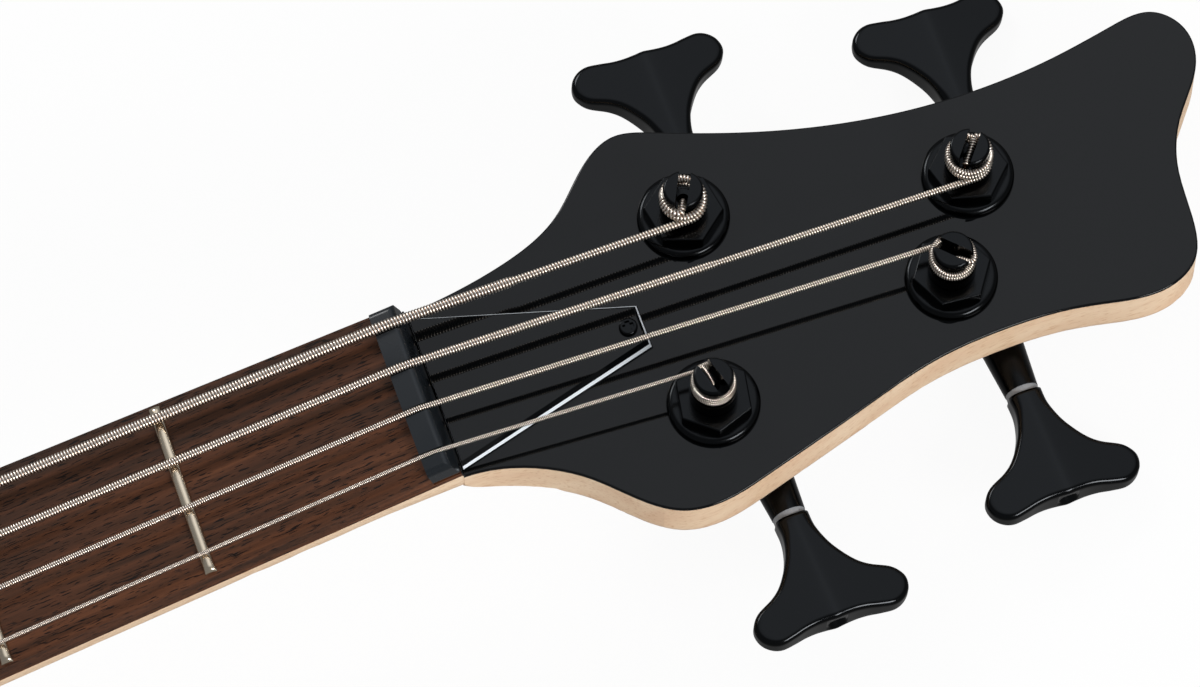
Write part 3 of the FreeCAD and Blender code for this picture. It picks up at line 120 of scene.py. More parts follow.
# Shares and counts that the new pieces are drawn with, and the least turn of a string's end in radians
corners_in_turn = 8
least_turn = 0.01
end_up_share = 0.8
end_back_share = 0.6
route_steps = 16
wrap_strands = 4
spare_turns = 2
frets_in_octave = 12
fret_middle_share = 0.93
fret_middle_steps = 25
fret_end_steps = 7
fret_arch_steps = 13
key_outline_steps = 5
key_rim_steps = 6
key_wall_rows = 5

# The useful range of a noise texture, and how much wider than its relief a finish's gloss changes
noise_low = 0.3
noise_high = 0.7
gloss_spread = 40

# Sockets of a colour Mix node
MIX_A = 6
MIX_B = 7
MIX_RESULT = 2


# Finishes

def linear(code):
    """An sRGB hex colour as linear red, green, blue and alpha."""
    value = np.array([int(code[place:place + 2], 16) for place in (1, 3, 5)]) / 255
    value = np.where(value <= 0.04045, value / 12.92, ((value + 0.055) / 1.055) ** 2.4)
    return (*value.tolist(), 1.0)


def add(tree, kind, inputs=None, stops=None, **settings):
    """One node with its settings. Each input takes a value, or a link from another node's socket. A colour
    ramp's stops are pairs of a place and a hex colour."""
    node = tree.nodes.new(kind)
    for key, value in settings.items():
        setattr(node, key, value)
    for socket, value in (inputs or {}).items():
        if isinstance(value, bpy.types.NodeSocket):
            tree.links.new(value, node.inputs[socket])
        else:
            node.inputs[socket].default_value = value
    if stops:
        elements = node.color_ramp.elements
        while len(elements) < len(stops):
            elements.new(0.5)
        for element, (place, code) in zip(elements, stops):
            element.position = place
            element.color = linear(code)
    return node


def finish(name, **sockets):
    """A material with one Principled shader. Socket names are written with _ for a space."""
    material = bpy.data.materials.new(name)
    material.use_nodes = True
    tree = material.node_tree
    shader = tree.nodes["Principled BSDF"]
    for key, value in sockets.items():
        shader.inputs[key.replace("_", " ")].default_value = value
    return material, tree, shader


def stretched(tree, size):
    """Object coordinates divided by a feature's size along X, Y and Z, in millimetres."""
    place = add(tree, "ShaderNodeTexCoord").outputs["Object"]
    scale = [1 / (part * MM) for part in size]
    return add(tree, "ShaderNodeMapping", {"Vector": place, "Scale": scale}).outputs["Vector"]


def speckled(name, colour, grain, depth, gloss, **sockets):
    """A moulded, sprayed or plated finish: fine relief of a grain and depth in millimetres, and a slow change
    of gloss over the surface, between two roughnesses."""
    material, tree, shader = finish(name, Base_Color=linear(colour), **sockets)
    fine = add(tree, "ShaderNodeTexNoise", {"Vector": stretched(tree, (grain,) * 3), "Scale": 1.0,
                                            "Detail": 3.0})
    relief = add(tree, "ShaderNodeBump", {"Height": fine.outputs["Fac"], "Distance": depth * MM,
                                          "Strength": 1.0})
    tree.links.new(relief.outputs["Normal"], shader.inputs["Normal"])
    slow = add(tree, "ShaderNodeTexNoise", {"Vector": stretched(tree, (gloss_spread * grain,) * 3),
                                            "Scale": 1.0, "Detail": 4.0})
    change = add(tree, "ShaderNodeMapRange", {"Value": slow.outputs["Fac"], "From Min": noise_low,
                                              "From Max": noise_high, "To Min": gloss[0], "To Max": gloss[1]})
    tree.links.new(change.outputs["Result"], shader.inputs["Roughness"])
    return material


def maple():
    """Maple under a satin varnish: pale, slow bands along the grain, multiplied by short darker ray flecks,
    which give it a slight relief."""
    band_size = (160, 5, 5)
    fleck_size = (2.6, 0.5, 0.5)
    fleck_share = 0.8
    fleck_depth = 0.01
    material, tree, shader = finish("satin_maple", IOR=1.5, Roughness=0.42)
    bands = add(tree, "ShaderNodeTexNoise", {"Vector": stretched(tree, band_size), "Scale": 1.0,
                                             "Detail": 6.0})
    tone = add(tree, "ShaderNodeValToRGB", {"Fac": bands.outputs["Fac"]},
               [(0.30, "#d6b392"), (0.50, "#dcbe9e"), (0.72, "#e3c9ab")])
    flecks = add(tree, "ShaderNodeTexNoise", {"Vector": stretched(tree, fleck_size), "Scale": 1.0,
                                              "Detail": 2.0})
    fleck = add(tree, "ShaderNodeValToRGB", {"Fac": flecks.outputs["Fac"]},
                [(0.54, "#ffffff"), (0.72, "#e2cdb8")])
    mixed = add(tree, "ShaderNodeMix", {"Factor": fleck_share, MIX_A: tone.outputs["Color"],
                                        MIX_B: fleck.outputs["Color"]},
                data_type="RGBA", blend_type="MULTIPLY")
    tree.links.new(mixed.outputs[MIX_RESULT], shader.inputs["Base Color"])
    relief = add(tree, "ShaderNodeBump", {"Height": flecks.outputs["Fac"], "Distance": fleck_depth * MM,
                                          "Strength": 1.0})
    tree.links.new(relief.outputs["Normal"], shader.inputs["Normal"])
    return material


def rosewood():
    """Oiled rosewood: brown streaks along the board, redder and lighter towards its treble edge, which is
    painted light on the side that faces the front lamp, and open pores as short black dashes, which are drawn
    half as wide again as real ones so that they show."""
    streak_size = (60, 1.9, 1.9)
    pore_size = (3.0, 0.3, 0.3)
    pore_share = 0.9
    pore_depth = 0.05
    treble_reach = 20.0
    treble_painted_light = 0.06
    material, tree, shader = finish("oiled_rosewood", IOR=1.45, Roughness=0.6, Specular_IOR_Level=0.25)
    streaks = add(tree, "ShaderNodeTexNoise", {"Vector": stretched(tree, streak_size), "Scale": 1.0,
                                               "Detail": 8.0, "Roughness": 0.62})
    place = add(tree, "ShaderNodeSeparateXYZ", {"Vector": stretched(tree, (1, 1, 1))})
    # Painted light: the streaks' tone moves lighter and redder across the board towards the treble edge, the
    # side the front lamp faces
    treble = add(tree, "ShaderNodeMapRange", {"Value": place.outputs["Y"], "From Min": treble_reach,
                                              "From Max": -treble_reach, "To Min": -treble_painted_light,
                                              "To Max": treble_painted_light})
    shifted = add(tree, "ShaderNodeMath", {0: streaks.outputs["Fac"], 1: treble.outputs["Result"]},
                  operation="ADD")
    tone = add(tree, "ShaderNodeValToRGB", {"Fac": shifted.outputs[0]},
               [(0.28, "#2a180d"), (0.44, "#3e2414"), (0.58, "#512e1a"), (0.74, "#673d24")])
    pores = add(tree, "ShaderNodeTexNoise", {"Vector": stretched(tree, pore_size), "Scale": 1.0,
                                             "Detail": 1.5, "Roughness": 0.5})
    pore = add(tree, "ShaderNodeValToRGB", {"Fac": pores.outputs["Fac"]},
               [(0.35, "#180d08"), (0.41, "#ffffff")])
    mixed = add(tree, "ShaderNodeMix", {"Factor": pore_share, MIX_A: tone.outputs["Color"],
                                        MIX_B: pore.outputs["Color"]},
                data_type="RGBA", blend_type="MULTIPLY")
    tree.links.new(mixed.outputs[MIX_RESULT], shader.inputs["Base Color"])
    relief = add(tree, "ShaderNodeBump", {"Height": pore.outputs["Color"], "Distance": pore_depth * MM,
                                          "Strength": 1.0})
    tree.links.new(relief.outputs["Normal"], shader.inputs["Normal"])
    return material


def wrap_wire():
    """Nickel-plated wire wound on a core: bright on each turn's crest, and darker and browner towards the
    grooves between turns, which is painted shade with some tarnish. The piece's own groove attribute is 0 in
    a groove and 1 on a crest."""
    material, tree, shader = finish("nickel_plated_wrap_wire", Metallic=1.0, Roughness=0.3)
    groove = add(tree, "ShaderNodeAttribute", attribute_name="groove")
    # Painted shade, with some tarnish: the base colour falls to dark brown towards each groove and is palest
    # on the crests
    tone = add(tree, "ShaderNodeValToRGB", {"Fac": groove.outputs["Fac"]},
               [(0.0, "#3c281c"), (0.55, "#ac907c"), (0.95, "#fdf3e6")])
    tree.links.new(tone.outputs["Color"], shader.inputs["Base Color"])
    return material


def make_finishes():
    """One finish for each material slot of the record."""
    return {
        # Sprayed and rubbed to a satin: black, with broad soft highlights
        "black_lacquer": speckled("satin_black_lacquer", "#070809", grain=3.0, depth=0.0008,
                                  gloss=(0.2, 0.26), IOR=1.5, Specular_IOR_Level=0.35),
        # Sprayed and polished: a dark mirror for the strings and posts above it
        "black_face": speckled("polished_black_lacquer", "#060708", grain=3.0, depth=0.0004,
                               gloss=(0.015, 0.025), IOR=1.5, Specular_IOR_Level=0.23),
        "maple": maple(),
        "rosewood": rosewood(),
        # Drawn and polished wire: warm pale metal, with the strings' dark images across it
        "nickel": speckled("polished_nickel_silver", "#d9cab3", grain=0.8, depth=0.002, gloss=(0.18, 0.26),
                           Metallic=1.0),
        "string_nickel": wrap_wire(),
        # Cast sheet: milky and glossy
        "pearl_plastic": speckled("pearl_acrylic", "#dcd9cf", grain=2.0, depth=0.002, gloss=(0.12, 0.2),
                                  IOR=1.49),
        # Moulded with graphite in it: blue-grey, with a dull sheen
        "nut_grey": speckled("moulded_graphite_plastic", "#171b1f", grain=0.4, depth=0.004,
                             gloss=(0.24, 0.32), IOR=1.45, Specular_IOR_Level=0.4),
        # Turned and left bare: mid grey, with wide highlights
        "steel": speckled("turned_steel", "#8f8f8d", grain=0.4, depth=0.002, gloss=(0.28, 0.42),
                          Metallic=1.0),
        # Pressed and polished sheet: the same dark mirror as the face
        "black_ply": speckled("polished_black_laminate", "#060708", grain=2.0, depth=0.0004,
                              gloss=(0.015, 0.025), IOR=1.5, Specular_IOR_Level=0.23),
        # The sheet's cut edge: a cold white line without gloss
        "white_ply": speckled("white_laminate_edge", "#e4e9ee", grain=0.5, depth=0.002, gloss=(0.3, 0.4),
                              IOR=1.5),
        # Plated over polished castings: near black, with narrow highlights
        "black_metal": speckled("black_plated_metal", "#1f2021", grain=0.6, depth=0.0015, gloss=(0.14, 0.22),
                                Metallic=1.0),
        # Plated over tumbled castings: near black and even, with soft-edged highlights
        "black_key": speckled("satin_black_plated_metal", "#222324", grain=0.35, depth=0.0006,
                              gloss=(0.13, 0.17), Metallic=1.0),
        # Moulded: plain mid grey
        "grey_nylon": speckled("grey_nylon", "#8f9296", grain=0.6, depth=0.004, gloss=(0.4, 0.5), IOR=1.53),
        # Turned: yellow metal, a little dulled
        "brass": speckled("turned_brass", "#c9a35a", grain=0.5, depth=0.002, gloss=(0.22, 0.34),
                          Metallic=1.0),
        # Moulded: black with a fine, dull skin
        "black_plastic": speckled("moulded_black_abs", "#101113", grain=0.5, depth=0.006, gloss=(0.34, 0.46),
                                  IOR=1.5),
        # Drawn and enamelled wire: red-brown metal
        "copper_wire": speckled("enamelled_copper", "#a8552f", grain=0.4, depth=0.01, gloss=(0.2, 0.32),
                                Metallic=1.0),
        # Pressed and fired powder: dark and matt
        "magnet_grey": speckled("pressed_ceramic", "#3a3a3a", grain=0.6, depth=0.01, gloss=(0.6, 0.7),
                                IOR=1.5),
    }


finishes = make_finishes()
node_slot = {row["node"]: row["material_slot"] for row in frame["record"]["subparts"]}
for node_name, solid in frame["nodes"].items():
    solid.data.materials.clear()
    solid.data.materials.append(finishes[node_slot[node_name]])


# General shapes

def grid_faces(rows, columns, start=0):
    """Quads of a grid of points, which are numbered row by row from start."""
    row, column = np.meshgrid(np.arange(rows - 1), np.arange(columns - 1), indexing="ij")
    corner = start + row * columns + column
    return np.stack([corner, corner + columns, corner + columns + 1, corner + 1], -1).reshape(-1, 4)


def piece(name, points, faces, body, slot, node=None, groove=None):
    """A smooth mesh of points in millimetres, riding on a body, with the finish of a slot. A groove value for
    each point, where there is one, is kept as the mesh's attribute."""
    mesh = bpy.data.meshes.new(name)
    mesh.from_pydata((np.asarray(points) * MM).tolist(), [], [list(face) for face in faces])
    mesh.shade_smooth()
    mesh.materials.append(finishes[slot])
    if groove is not None:
        mesh.attributes.new("groove", "FLOAT", "POINT").data.foreach_set("value", groove)
    made = bpy.data.objects.new(name, mesh)
    bpy.context.scene.collection.objects.link(made)
    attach(made, body)
    if node:
        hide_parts(node)


def unit(vectors):
    """Vectors divided by their lengths."""
    return vectors / np.linalg.norm(vectors, axis=-1, keepdims=True)


def on_head(points):
    """Points given along, across and above the headstock's face, in the part's frame."""
    return head_origin + np.asarray(points) @ head_axes


def on_tuner(points, name):
    """Points drawn about a post, outward along +Y, set on that tuner's side of the headstock."""
    lean = -math.radians(tuner_lean[name])
    turn = np.array([[math.cos(lean), math.sin(lean), 0], [-math.sin(lean), math.cos(lean), 0], [0, 0, 1]])
    leaned = np.asarray(points) @ turn
    return on_head(leaned * [1, tuner_side[name], 1] + [post_along[name], post_across[name], 0])


# Strings

def string_point(name, x):
    """The middle of a string over the board, rising from the nut to the bridge over the board's crown."""
    along = x / scale_length
    y = string_place[name] * (bridge_spacing + along * (nut_spacing - bridge_spacing))
    crown = board_radius - math.sqrt(board_radius ** 2 - y ** 2)
    lift = bridge_lift + along * (nut_lift - bridge_lift)
    return np.array([x, y, board_top - crown + lift + string_diameter[name] / 2])


def winding(name, nut, steps):
    """Corners of the eight-sided path round a post, an eighth turn apart from where the string meets it. The
    corners stand out so far that a quadratic spline through the sides has the winding's own radius."""
    side = tuner_side[name]
    radius = winding_outer_radius[name] - winding_diameter[name] / 2
    pitch = winding_diameter[name] + winding_spacing
    start = (nut - head_origin) @ head_axes.T
    across = post_across[name] - start[1]
    along = post_along[name] - start[0]
    heading = math.atan2(across, along) - side * math.asin(radius / math.hypot(along, across))
    turned = (np.asarray(steps) - 0.5) * 2 * math.pi / corners_in_turn
    angle = heading - side * math.pi / 2 + side * turned
    corner = radius / math.cos(math.pi / corners_in_turn)
    height = winding_height[name] + pitch * np.maximum(turned, 0) / (2 * math.pi)
    around = np.stack([post_along[name] + corner * np.cos(angle), post_across[name] + corner * np.sin(angle),
                       height], -1)
    return around, angle


def string_route(name):
    """Ball end, saddle, nut and the turns on the post, with a point either side of each bend. The last point
    is the middle of the winding's last side. Returned with the place where the string's taper starts."""
    anchor = np.array([-bridge_back, string_place[name] * bridge_spacing, body_thickness + anchor_height])
    saddle = string_point(name, -saddle_setback[name])
    nut = string_point(name, scale_length + nut_top_length / 2)
    around = winding(name, nut, np.arange(2 * winding_quarters[name] + 2))[0]
    around[-1] = (around[-2] + around[-1]) / 2
    turns = on_head(around)
    behind = unit(saddle - anchor) * bend_reach
    over = unit(nut - saddle) * bend_reach
    beyond = unit(turns[0] - nut) * bend_reach
    bends = [anchor, saddle - behind, saddle, saddle + over, nut - over, nut, nut + beyond]
    taper = nut + taper_share[name] * (turns[0] - nut)
    return np.vstack([bends, turns]), taper


def end_route(name):
    """The string's last part turn, from the middle of the winding's last side into the post's slot, and the
    slot's way outwards."""
    nut = string_point(name, scale_length + nut_top_length / 2)
    last = 2 * winding_quarters[name]
    around, angle = winding(name, nut, np.arange(last - 1, last + corners_in_turn + 1))
    around[0] = (around[0] + around[1]) / 2
    side = tuner_side[name]
    mouth = math.radians(mouth_angle[name])
    passed = (side * (angle - angle[0])) % (2 * math.pi)
    reach = (side * (mouth - angle[0])) % (2 * math.pi)
    kept = passed < max(reach - math.radians(mouth_clearance), least_turn)
    kept = np.logical_and.accumulate(kept)
    outward = np.array([math.cos(mouth), math.sin(mouth), 0])
    middle = np.array([post_along[name], post_across[name], around[kept][-1][2]])
    radius = winding_outer_radius[name] - winding_diameter[name] / 2
    share, drop = np.array(tail_shares[name]).T
    inward = middle + outward * radius * share[:, None] - [0, 0, winding_diameter[name]] * drop[:, None]
    return on_head(np.vstack([around[kept], inward])), outward @ head_axes


def smooth_line(name, route):
    """Points of the quadratic spline, of order 3, that has the route as its control points."""
    curve = bpy.data.curves.new(name, "CURVE")
    curve.dimensions = "3D"
    curve.resolution_u = route_steps
    spline = curve.splines.new("NURBS")
    spline.points.add(len(route) - 1)
    spline.points.foreach_set("co", np.hstack([route, np.ones((len(route), 1))]).ravel())
    spline.order_u = 3
    spline.use_endpoint_u = True
    line = bpy.data.objects.new(name, curve)
    mesh = bpy.data.meshes.new_from_object(line)
    points = np.zeros(len(mesh.vertices) * 3)
    mesh.vertices.foreach_get("co", points)
    bpy.data.meshes.remove(mesh)
    bpy.data.objects.remove(line)
    bpy.data.curves.remove(curve)
    return points.reshape(-1, 3)


def distances(line):
    """The distance of each of a line's points from its start, summed along it."""
    return np.concatenate([[0], np.cumsum(np.linalg.norm(np.diff(line, axis=0), axis=1))])


def at_distance(line, distance, place):
    """Places at distances along a line, straight between its points."""
    return np.stack([np.interp(place, distance, line[:, axis]) for axis in range(3)], -1)


def wound(name, line, thickness, upright):
    """A round-wound string: a wire coiled round a core. Strands run side by side along the coil's helix: a
    strand's point has the angle 2 pi j / sides and the distance pitch (j / sides + strand / strands), and its
    radius is the coil's round wire at that strand. The end of each turn meets the start of the next, and fans
    close both ends. Thickness is a (distance, diameter) table along the line. Returned with each point's
    height in its groove, from 0 to 1."""
    pitch = wrap_pitch[name]
    sides = wrap_sides[name]
    distance = distances(line)
    end = distance[-1]
    around = int((end / pitch - spare_turns) * sides)
    place, strand = np.meshgrid(np.arange(around + sides + 1), np.arange(wrap_strands), indexing="ij")
    along = np.minimum(pitch * (place / sides + strand / wrap_strands), end)
    turn = 2 * math.pi * place / sides
    wire = pitch / 2
    profile = wire * np.sqrt(1 - (1 - 2 * strand / wrap_strands) ** 2)
    radius = np.interp(along, *np.array(thickness).T) / 2 - wire + profile
    centre = at_distance(line, distance, along)
    way = unit(at_distance(line, distance, np.minimum(along + pitch, end))
               - at_distance(line, distance, np.maximum(along - pitch, 0)))
    across = unit(np.cross(upright, way))
    up = np.cross(way, across)
    points = centre + radius[..., None] * (np.cos(turn)[..., None] * across + np.sin(turn)[..., None] * up)
    points = points.reshape(-1, 3)
    here, strand = np.meshgrid(np.arange(around), np.arange(wrap_strands), indexing="ij")
    crossed = strand == wrap_strands - 1
    beside = np.where(crossed, here + sides, here)
    other = np.where(crossed, 0, strand + 1)
    quads = np.stack([here * wrap_strands + strand, (here + 1) * wrap_strands + strand,
                      (beside + 1) * wrap_strands + other, beside * wrap_strands + other], -1)
    faces = quads.reshape(-1, 4).tolist()
    rest = np.arange(1, wrap_strands)
    start_rim = np.concatenate([np.arange(sides + 1) * wrap_strands, rest[::-1]])
    end_rim = np.concatenate([around * wrap_strands + rest,
                              np.arange(around + sides, around - 1, -1) * wrap_strands])
    for middle, rim in enumerate((start_rim, end_rim), len(points)):
        faces += [[middle, int(after), int(before)] for before, after in zip(rim, np.roll(rim, -1))]
    points = np.vstack([points, line[:1], line[-1:]])
    groove = np.concatenate([(profile / wire).ravel(), [0, 0]])
    return points, faces, groove


def wound_string(name):
    """A string from its ball end to its last turn on the post, with its taper beyond the nut."""
    route, taper = string_route(name)
    line = smooth_line("route_" + name, route)
    taper_start = distances(line)[np.argmin(np.linalg.norm(line - taper, axis=1))]
    thickness = [(taper_start, string_diameter[name]), (taper_start + taper_length, winding_diameter[name])]
    points, faces, groove = wound(name, line, thickness, head_axes[2])
    piece("wound_string_" + name, points, faces, "instrument", "string_nickel", "string_" + name, groove)


def string_end(name):
    """The string's end, from its last turn down into the post's slot."""
    route, outward = end_route(name)
    line = smooth_line("end_route_" + name, route)
    upright = end_up_share * head_axes[2] - end_back_share * outward
    points, faces, groove = wound(name, line, [(0, winding_diameter[name])], upright)
    piece("string_end_" + name, points, faces, "post_" + name, "string_nickel", groove=groove)


for name in string_names:
    wound_string(name)
    string_end(name)


# Frets

def dressed_frets():
    """Fret wire on the board's crown: half an ellipse across, carried along an arc about the crown's centre,
    whose height falls as a quarter circle over the rounded ends. It is open below, against the board."""
    number = np.arange(1, fret_count + 1)
    x = scale_length / 2 ** (number / frets_in_octave)
    widening = (scale_length - x) / (scale_length - board_end)
    half = (nut_width + widening * (board_end_width - nut_width)) / 2 - fret_inset
    middle = np.linspace(-fret_middle_share, fret_middle_share, fret_middle_steps)
    end = np.linspace(fret_middle_share, 1, fret_end_steps)[1:]
    share = np.concatenate([-end[::-1], middle, end])
    across = np.linspace(0, math.pi, fret_arch_steps)
    y = half[:, None] * share
    from_end = half[:, None] * (1 - np.abs(share))
    fall = np.sqrt(1 - np.clip(1 - from_end / fret_end_round, 0, 1) ** 2)
    rise = board_radius + fret_height * fall[..., None] * np.sin(across)
    angle = np.arcsin(y / board_radius)[..., None]
    side = np.broadcast_to(fret_width / 2 * np.cos(across), rise.shape)
    points = np.stack([x[:, None, None] + side, rise * np.sin(angle),
                       board_top - board_radius + rise * np.cos(angle)], -1)
    size = len(share) * len(across)
    faces = [grid_faces(len(share), len(across), start=size * place) for place in range(fret_count)]
    return points.reshape(-1, 3), np.vstack(faces)


piece("dressed_frets", *dressed_frets(), "instrument", "nickel", "frets")


# Tuner keys

def key_curve(count):
    """The key's half outline from its hub round one lobe to the middle of its end: a cubic from each point
    to the next, whose slope at a point is half the step between that point's neighbours, straight at the hub
    and mirrored at the end. Returned as the side up to the lobe's top, and the end from there to the
    middle."""
    half = key_outline_shares * [key_width, key_length]
    path = np.vstack([half[1] * [1, -1], half, half[-2] * [-1, 1]])
    before, here, after, last = path[:-3], path[1:-2], path[2:-1], path[3:]
    t = np.linspace(0, 1, count, endpoint=False)[:, None, None]
    curve = 0.5 * (2 * here + (after - before) * t + (2 * before - 5 * here + 4 * after - last) * t ** 2
                   + (3 * here - before - 3 * after + last) * t ** 3)
    curve = np.vstack([curve.transpose(1, 0, 2).reshape(-1, 2), half[-1:]])
    return curve[:key_lobe_place * count + 1], curve[key_lobe_place * count:]


def around_patch(patch):
    """The points round a patch's edge, anticlockwise from its first corner."""
    return np.concatenate([patch[0], patch[1:, -1], patch[-1, -2::-1], patch[-2:0:-1, 0]])


def patch_between(bottom, right, top):
    """A patch between a bottom row, a right side, a top row and the right side mirrored: the sum of the
    straight blends between opposite sides, less the straight blend of the four corners."""
    u = np.linspace(0, 1, len(bottom))[None, :, None]
    v = np.linspace(0, 1, len(right))[:, None, None]
    left = right * [-1, 1]
    corners = ((1 - v) * ((1 - u) * bottom[0] + u * bottom[-1]) + v * ((1 - u) * top[0] + u * top[-1]))
    return (1 - v) * bottom[None] + v * top[None] + (1 - u) * left[:, None] + u * right[:, None] - corners


def key_height(plan):
    """Half the key's thickness: it falls in a straight line from the rounded rib to the lobes."""
    slope = (key_rib_thickness - key_edge_thickness) / key_width
    return key_rib_thickness / 2 - slope * (np.hypot(plan[..., 0], key_ridge_round) - key_ridge_round)


def key_mesh(count):
    """A three-lobed key. Each face is a patch inside the outline. Its rim turns a quarter circle into an
    upright wall, with a larger turn near the hub, which makes the hub almost round. In the middle of the end
    the wall has a round hole for the screw: the hole's circle is joined straight to the edge of a rectangle
    left open for it."""
    side, end = key_curve(count)
    top = np.vstack([end * [-1, 1], end[-2::-1]])
    share = np.linspace(-1, 1, len(top))
    bottom = np.stack([share * side[0, 0], np.zeros(len(top))], -1)
    loop = around_patch(patch_between(bottom, side, top))
    ahead = np.roll(loop, -1, 0) - np.roll(loop, 1, 0)
    outward = unit(np.stack([ahead[:, 1], -ahead[:, 0]], -1))
    outward[:len(top)] = np.stack([share, 0 * share], -1)
    fade = np.clip(1 - loop[:, 1] / key_hub_fade, 0, 1)
    rim = (key_edge_round + (key_hub_round - key_edge_round) * fade ** 2 * (3 - 2 * fade))[:, None]
    inset = loop - outward * rim
    columns, rows = len(top), len(side)
    face = patch_between(inset[:columns], inset[columns - 1:columns + rows - 1],
                         inset[columns + rows - 2:2 * columns + rows - 2][::-1])
    upper = np.dstack([face, key_height(face)])
    turn = np.linspace(0, math.pi / 2, key_rim_steps + 1)[1:, None, None]
    plan = inset + outward * rim * np.sin(turn)
    arcs = np.dstack([plan, key_height(plan) - (rim * (1 - np.cos(turn)))[..., 0]])
    level = np.linspace(1, -1, key_wall_rows + 2)[1:-1, None]
    wall_plan = np.broadcast_to(arcs[-1, :, :2], (key_wall_rows, len(loop), 2))
    wall = np.dstack([wall_plan, level * arcs[-1, :, 2]])
    flip = [1, 1, -1]
    rings = np.concatenate([arcs, wall, arcs[::-1] * flip])
    points = np.vstack([upper.reshape(-1, 3), (upper * flip).reshape(-1, 3), rings.reshape(-1, 3)])
    size = columns * rows
    edge = around_patch(np.arange(size).reshape(rows, columns))
    on_rings = 2 * size + np.arange(len(rings) * len(loop)).reshape(-1, len(loop))
    table = np.vstack([edge, on_rings, size + edge])
    beside = np.roll(table, -1, 1)
    strip = np.stack([table[:-1], table[1:], beside[1:], beside[:-1]], -1)
    open_rows = slice(len(arcs), len(arcs) + len(wall) + 1)
    on_end = np.flatnonzero((np.abs(loop[:, 0]) < key_screw_margin) & (loop[:, 1] > key_length / 2))
    kept = np.ones(strip.shape[:2], bool)
    kept[open_rows, on_end[0]:on_end[-1]] = False
    patch = grid_faces(rows, columns)
    faces = patch[:, ::-1].tolist() + (patch + size).tolist() + strip[kept].tolist()
    frame_rows = table[len(arcs):len(arcs) + len(wall) + 2, on_end[0]:on_end[-1] + 1]
    return screw_hole(points, faces, around_patch(frame_rows), top)


def screw_hole(points, faces, border, top):
    """A round hole inside a border of the key's end wall: the border's points drawn straight in to a circle,
    a tube from there and a flat floor."""
    around = np.arctan2(points[border, 2], points[border, 0])
    mouth = key_screw_hole_radius * np.stack([np.cos(around), np.sin(around)], -1)
    lip = np.stack([mouth[:, 0], np.interp(mouth[:, 0], top[:, 0], top[:, 1]), mouth[:, 1]], -1)
    floor = lip.copy()
    floor[:, 1] = top[:, 1].min() - key_screw_hole_depth
    first = len(points)
    count = len(border)
    table = np.vstack([border, first + np.arange(2 * count).reshape(2, count)])
    beside = np.roll(table, -1, 1)
    strip = np.stack([table[:-1], table[1:], beside[1:], beside[:-1]], -1).reshape(-1, 4)
    faces = faces + strip.tolist() + [table[-1, ::-1].tolist()]
    used, place = np.unique(np.concatenate(faces), return_inverse=True)
    ends = np.cumsum([len(face) for face in faces])[:-1]
    return np.vstack([points, lip, floor])[used], [face.tolist() for face in np.split(place, ends)]


def tuner_key(name):
    """A key rolled a little about its shaft, on its own tuner. A mirrored key has its faces turned round."""
    points, faces = key_mesh(key_outline_steps)
    across, along, up = points.T
    rolled = np.stack([across * math.cos(key_turn) + up * math.sin(key_turn), along,
                       up * math.cos(key_turn) - across * math.sin(key_turn)], -1)
    if tuner_side[name] < 0:
        faces = [face[::-1] for face in faces]
    placed = on_tuner(rolled + [worm_offset, hub_start, worm_height], name)
    piece("dressed_key_" + name, placed, faces, "key_" + name, "black_key", "key_" + name)


for name in string_names:
    tuner_key(name)


# Stage, light and camera: metres, radians and watts, with the floor and the lens in millimetres
pure_white = linear("#ffffff")
floor_reach = 4000.0
floor_drop = 0.2
floor_white_share = 0.94
floor_mirror_strength = 0.25
room_colour = (0.96, 0.98, 1.0, 1.0)
room_strength = 0.6
mirror_colour = (0.94, 0.98, 1.04, 1.0)
mirror_room_strength = 0.25
soft_box_way = (0.42, 0.384, 0.82)
soft_box_reach = 0.7
soft_box_strength = 1.4
headstock_place = (0.95, 0.0, 0.04)
lamps = {
    "key_light": {"place": (0.6, 1.2, 1.1), "size": (0.5, 0.5), "power": 9.0},
    "front_light": {"place": (1.6, -1.15, 0.75), "size": (0.6, 0.4), "power": 14.5},
}
photo_lens = 190.35
photo_sensor = 36.0
photo_place = (1.0211, -0.4987, 1.2396)
photo_back = (0.0899, -0.3838, 0.9190)
photo_right = (0.9169, -0.3284, -0.2268)
farthest_seen = 50.0


def ray_kinds(tree):
    """The Light Path node, and 1 for a ray by which the camera sees a surface, straight or through a clear
    piece."""
    path = add(tree, "ShaderNodeLightPath")
    seen = add(tree, "ShaderNodeMath", {0: path.outputs["Is Camera Ray"],
                                        1: path.outputs["Is Transmission Ray"]}, operation="MAXIMUM")
    return path, seen.outputs[0]


def make_floor():
    """A plain pale floor: white to the camera, apart from a small share that keeps the shadow, and dimmer in
    reflections, as the floor of a studio is that is lit from above the object."""
    corners = np.array([[-1, -1], [1, -1], [1, 1], [-1, 1]]) * floor_reach
    points = np.column_stack([corners, np.full(len(corners), -floor_drop)])
    mesh = bpy.data.meshes.new("floor")
    mesh.from_pydata((points * MM).tolist(), [], [[0, 1, 2, 3]])
    floor = bpy.data.objects.new("floor", mesh)
    bpy.context.scene.collection.objects.link(floor)
    material, tree, shader = finish("pale_floor", Base_Color=linear("#e8e8e8"), Roughness=0.9)
    path, seen = ray_kinds(tree)
    weight = add(tree, "ShaderNodeMath", {0: seen, 1: floor_white_share}, operation="MULTIPLY")
    white = add(tree, "ShaderNodeEmission", {"Color": pure_white, "Strength": 1.0})
    lit = add(tree, "ShaderNodeMixShader", {0: weight.outputs[0], 1: shader.outputs[0], 2: white.outputs[0]})
    mirrored = add(tree, "ShaderNodeEmission", {"Color": pure_white, "Strength": floor_mirror_strength})
    mixed = add(tree, "ShaderNodeMixShader", {0: path.outputs["Is Glossy Ray"], 1: lit.outputs[0],
                                              2: mirrored.outputs[0]})
    tree.links.new(mixed.outputs[0], tree.nodes["Material Output"].inputs["Surface"])
    mesh.materials.append(material)


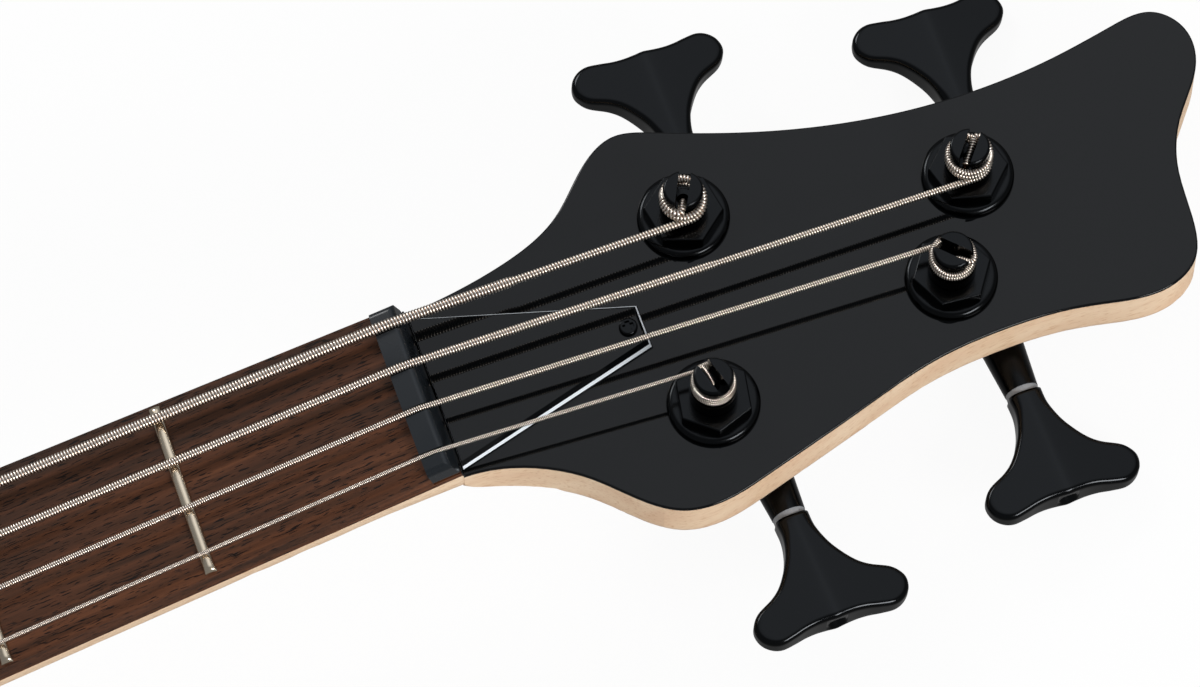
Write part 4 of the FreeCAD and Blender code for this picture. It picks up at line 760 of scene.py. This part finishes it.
def make_world():
    """White to the camera and even soft light on matt surfaces. In reflections it is a broad soft box
    overhead, brightest at its middle, in a room that darkens with the angle away from it, which gives black
    lacquer and plating their tone."""
    world = bpy.data.worlds.new("studio")
    bpy.context.scene.world = world
    world.use_nodes = True
    tree = world.node_tree
    shade = tree.nodes["Background"]
    shade.inputs["Color"].default_value = room_colour
    shade.inputs["Strength"].default_value = room_strength
    place = add(tree, "ShaderNodeTexCoord")
    aligned = add(tree, "ShaderNodeVectorMath", {0: place.outputs["Generated"], 1: soft_box_way},
                  operation="DOT_PRODUCT")
    away = add(tree, "ShaderNodeMath", {0: aligned.outputs["Value"]}, operation="ARCCOSINE")
    overhead = add(tree, "ShaderNodeMapRange", {"Value": away.outputs[0], "From Min": 0.0,
                                                "From Max": soft_box_reach, "To Min": soft_box_strength,
                                                "To Max": mirror_room_strength})
    mirrored = add(tree, "ShaderNodeBackground", {"Color": mirror_colour,
                                                  "Strength": overhead.outputs["Result"]})
    white = add(tree, "ShaderNodeBackground", {"Color": pure_white, "Strength": 1.0})
    path, seen = ray_kinds(tree)
    lit = add(tree, "ShaderNodeMixShader", {0: path.outputs["Is Glossy Ray"], 1: shade.outputs[0],
                                            2: mirrored.outputs[0]})
    mixed = add(tree, "ShaderNodeMixShader", {0: seen, 1: lit.outputs[0], 2: white.outputs[0]})
    tree.links.new(mixed.outputs[0], tree.nodes["World Output"].inputs["Surface"])


def soft_light(name, place, size, power):
    """A soft lamp that looks at the headstock."""
    light = bpy.data.lights.new(name, "AREA")
    light.shape = "RECTANGLE"
    light.size, light.size_y = size
    light.energy = power
    lamp = bpy.data.objects.new(name, light)
    lamp.location = place
    lamp.rotation_euler = (Vector(headstock_place) - Vector(place)).to_track_quat("-Z", "Y").to_euler()
    bpy.context.scene.collection.objects.link(lamp)


def make_camera():
    """The photograph's view, from its place, the way back from what it looks at and its right-hand way."""
    camera = bpy.data.cameras.new("photo_view")
    camera.lens = photo_lens
    camera.sensor_width = photo_sensor
    camera.clip_end = farthest_seen
    back = Vector(photo_back).normalized()
    up = back.cross(Vector(photo_right)).normalized()
    right = up.cross(back)
    turn = Matrix((right, up, back)).transposed()
    viewer = bpy.data.objects.new("photo_view", camera)
    viewer.matrix_world = Matrix.Translation(photo_place) @ turn.to_4x4()
    bpy.context.scene.collection.objects.link(viewer)
    bpy.context.scene.camera = viewer


make_floor()
make_world()
for name, lamp in lamps.items():
    soft_light(name, **lamp)
make_camera()
bpy.context.scene.view_settings.view_transform = "Standard"
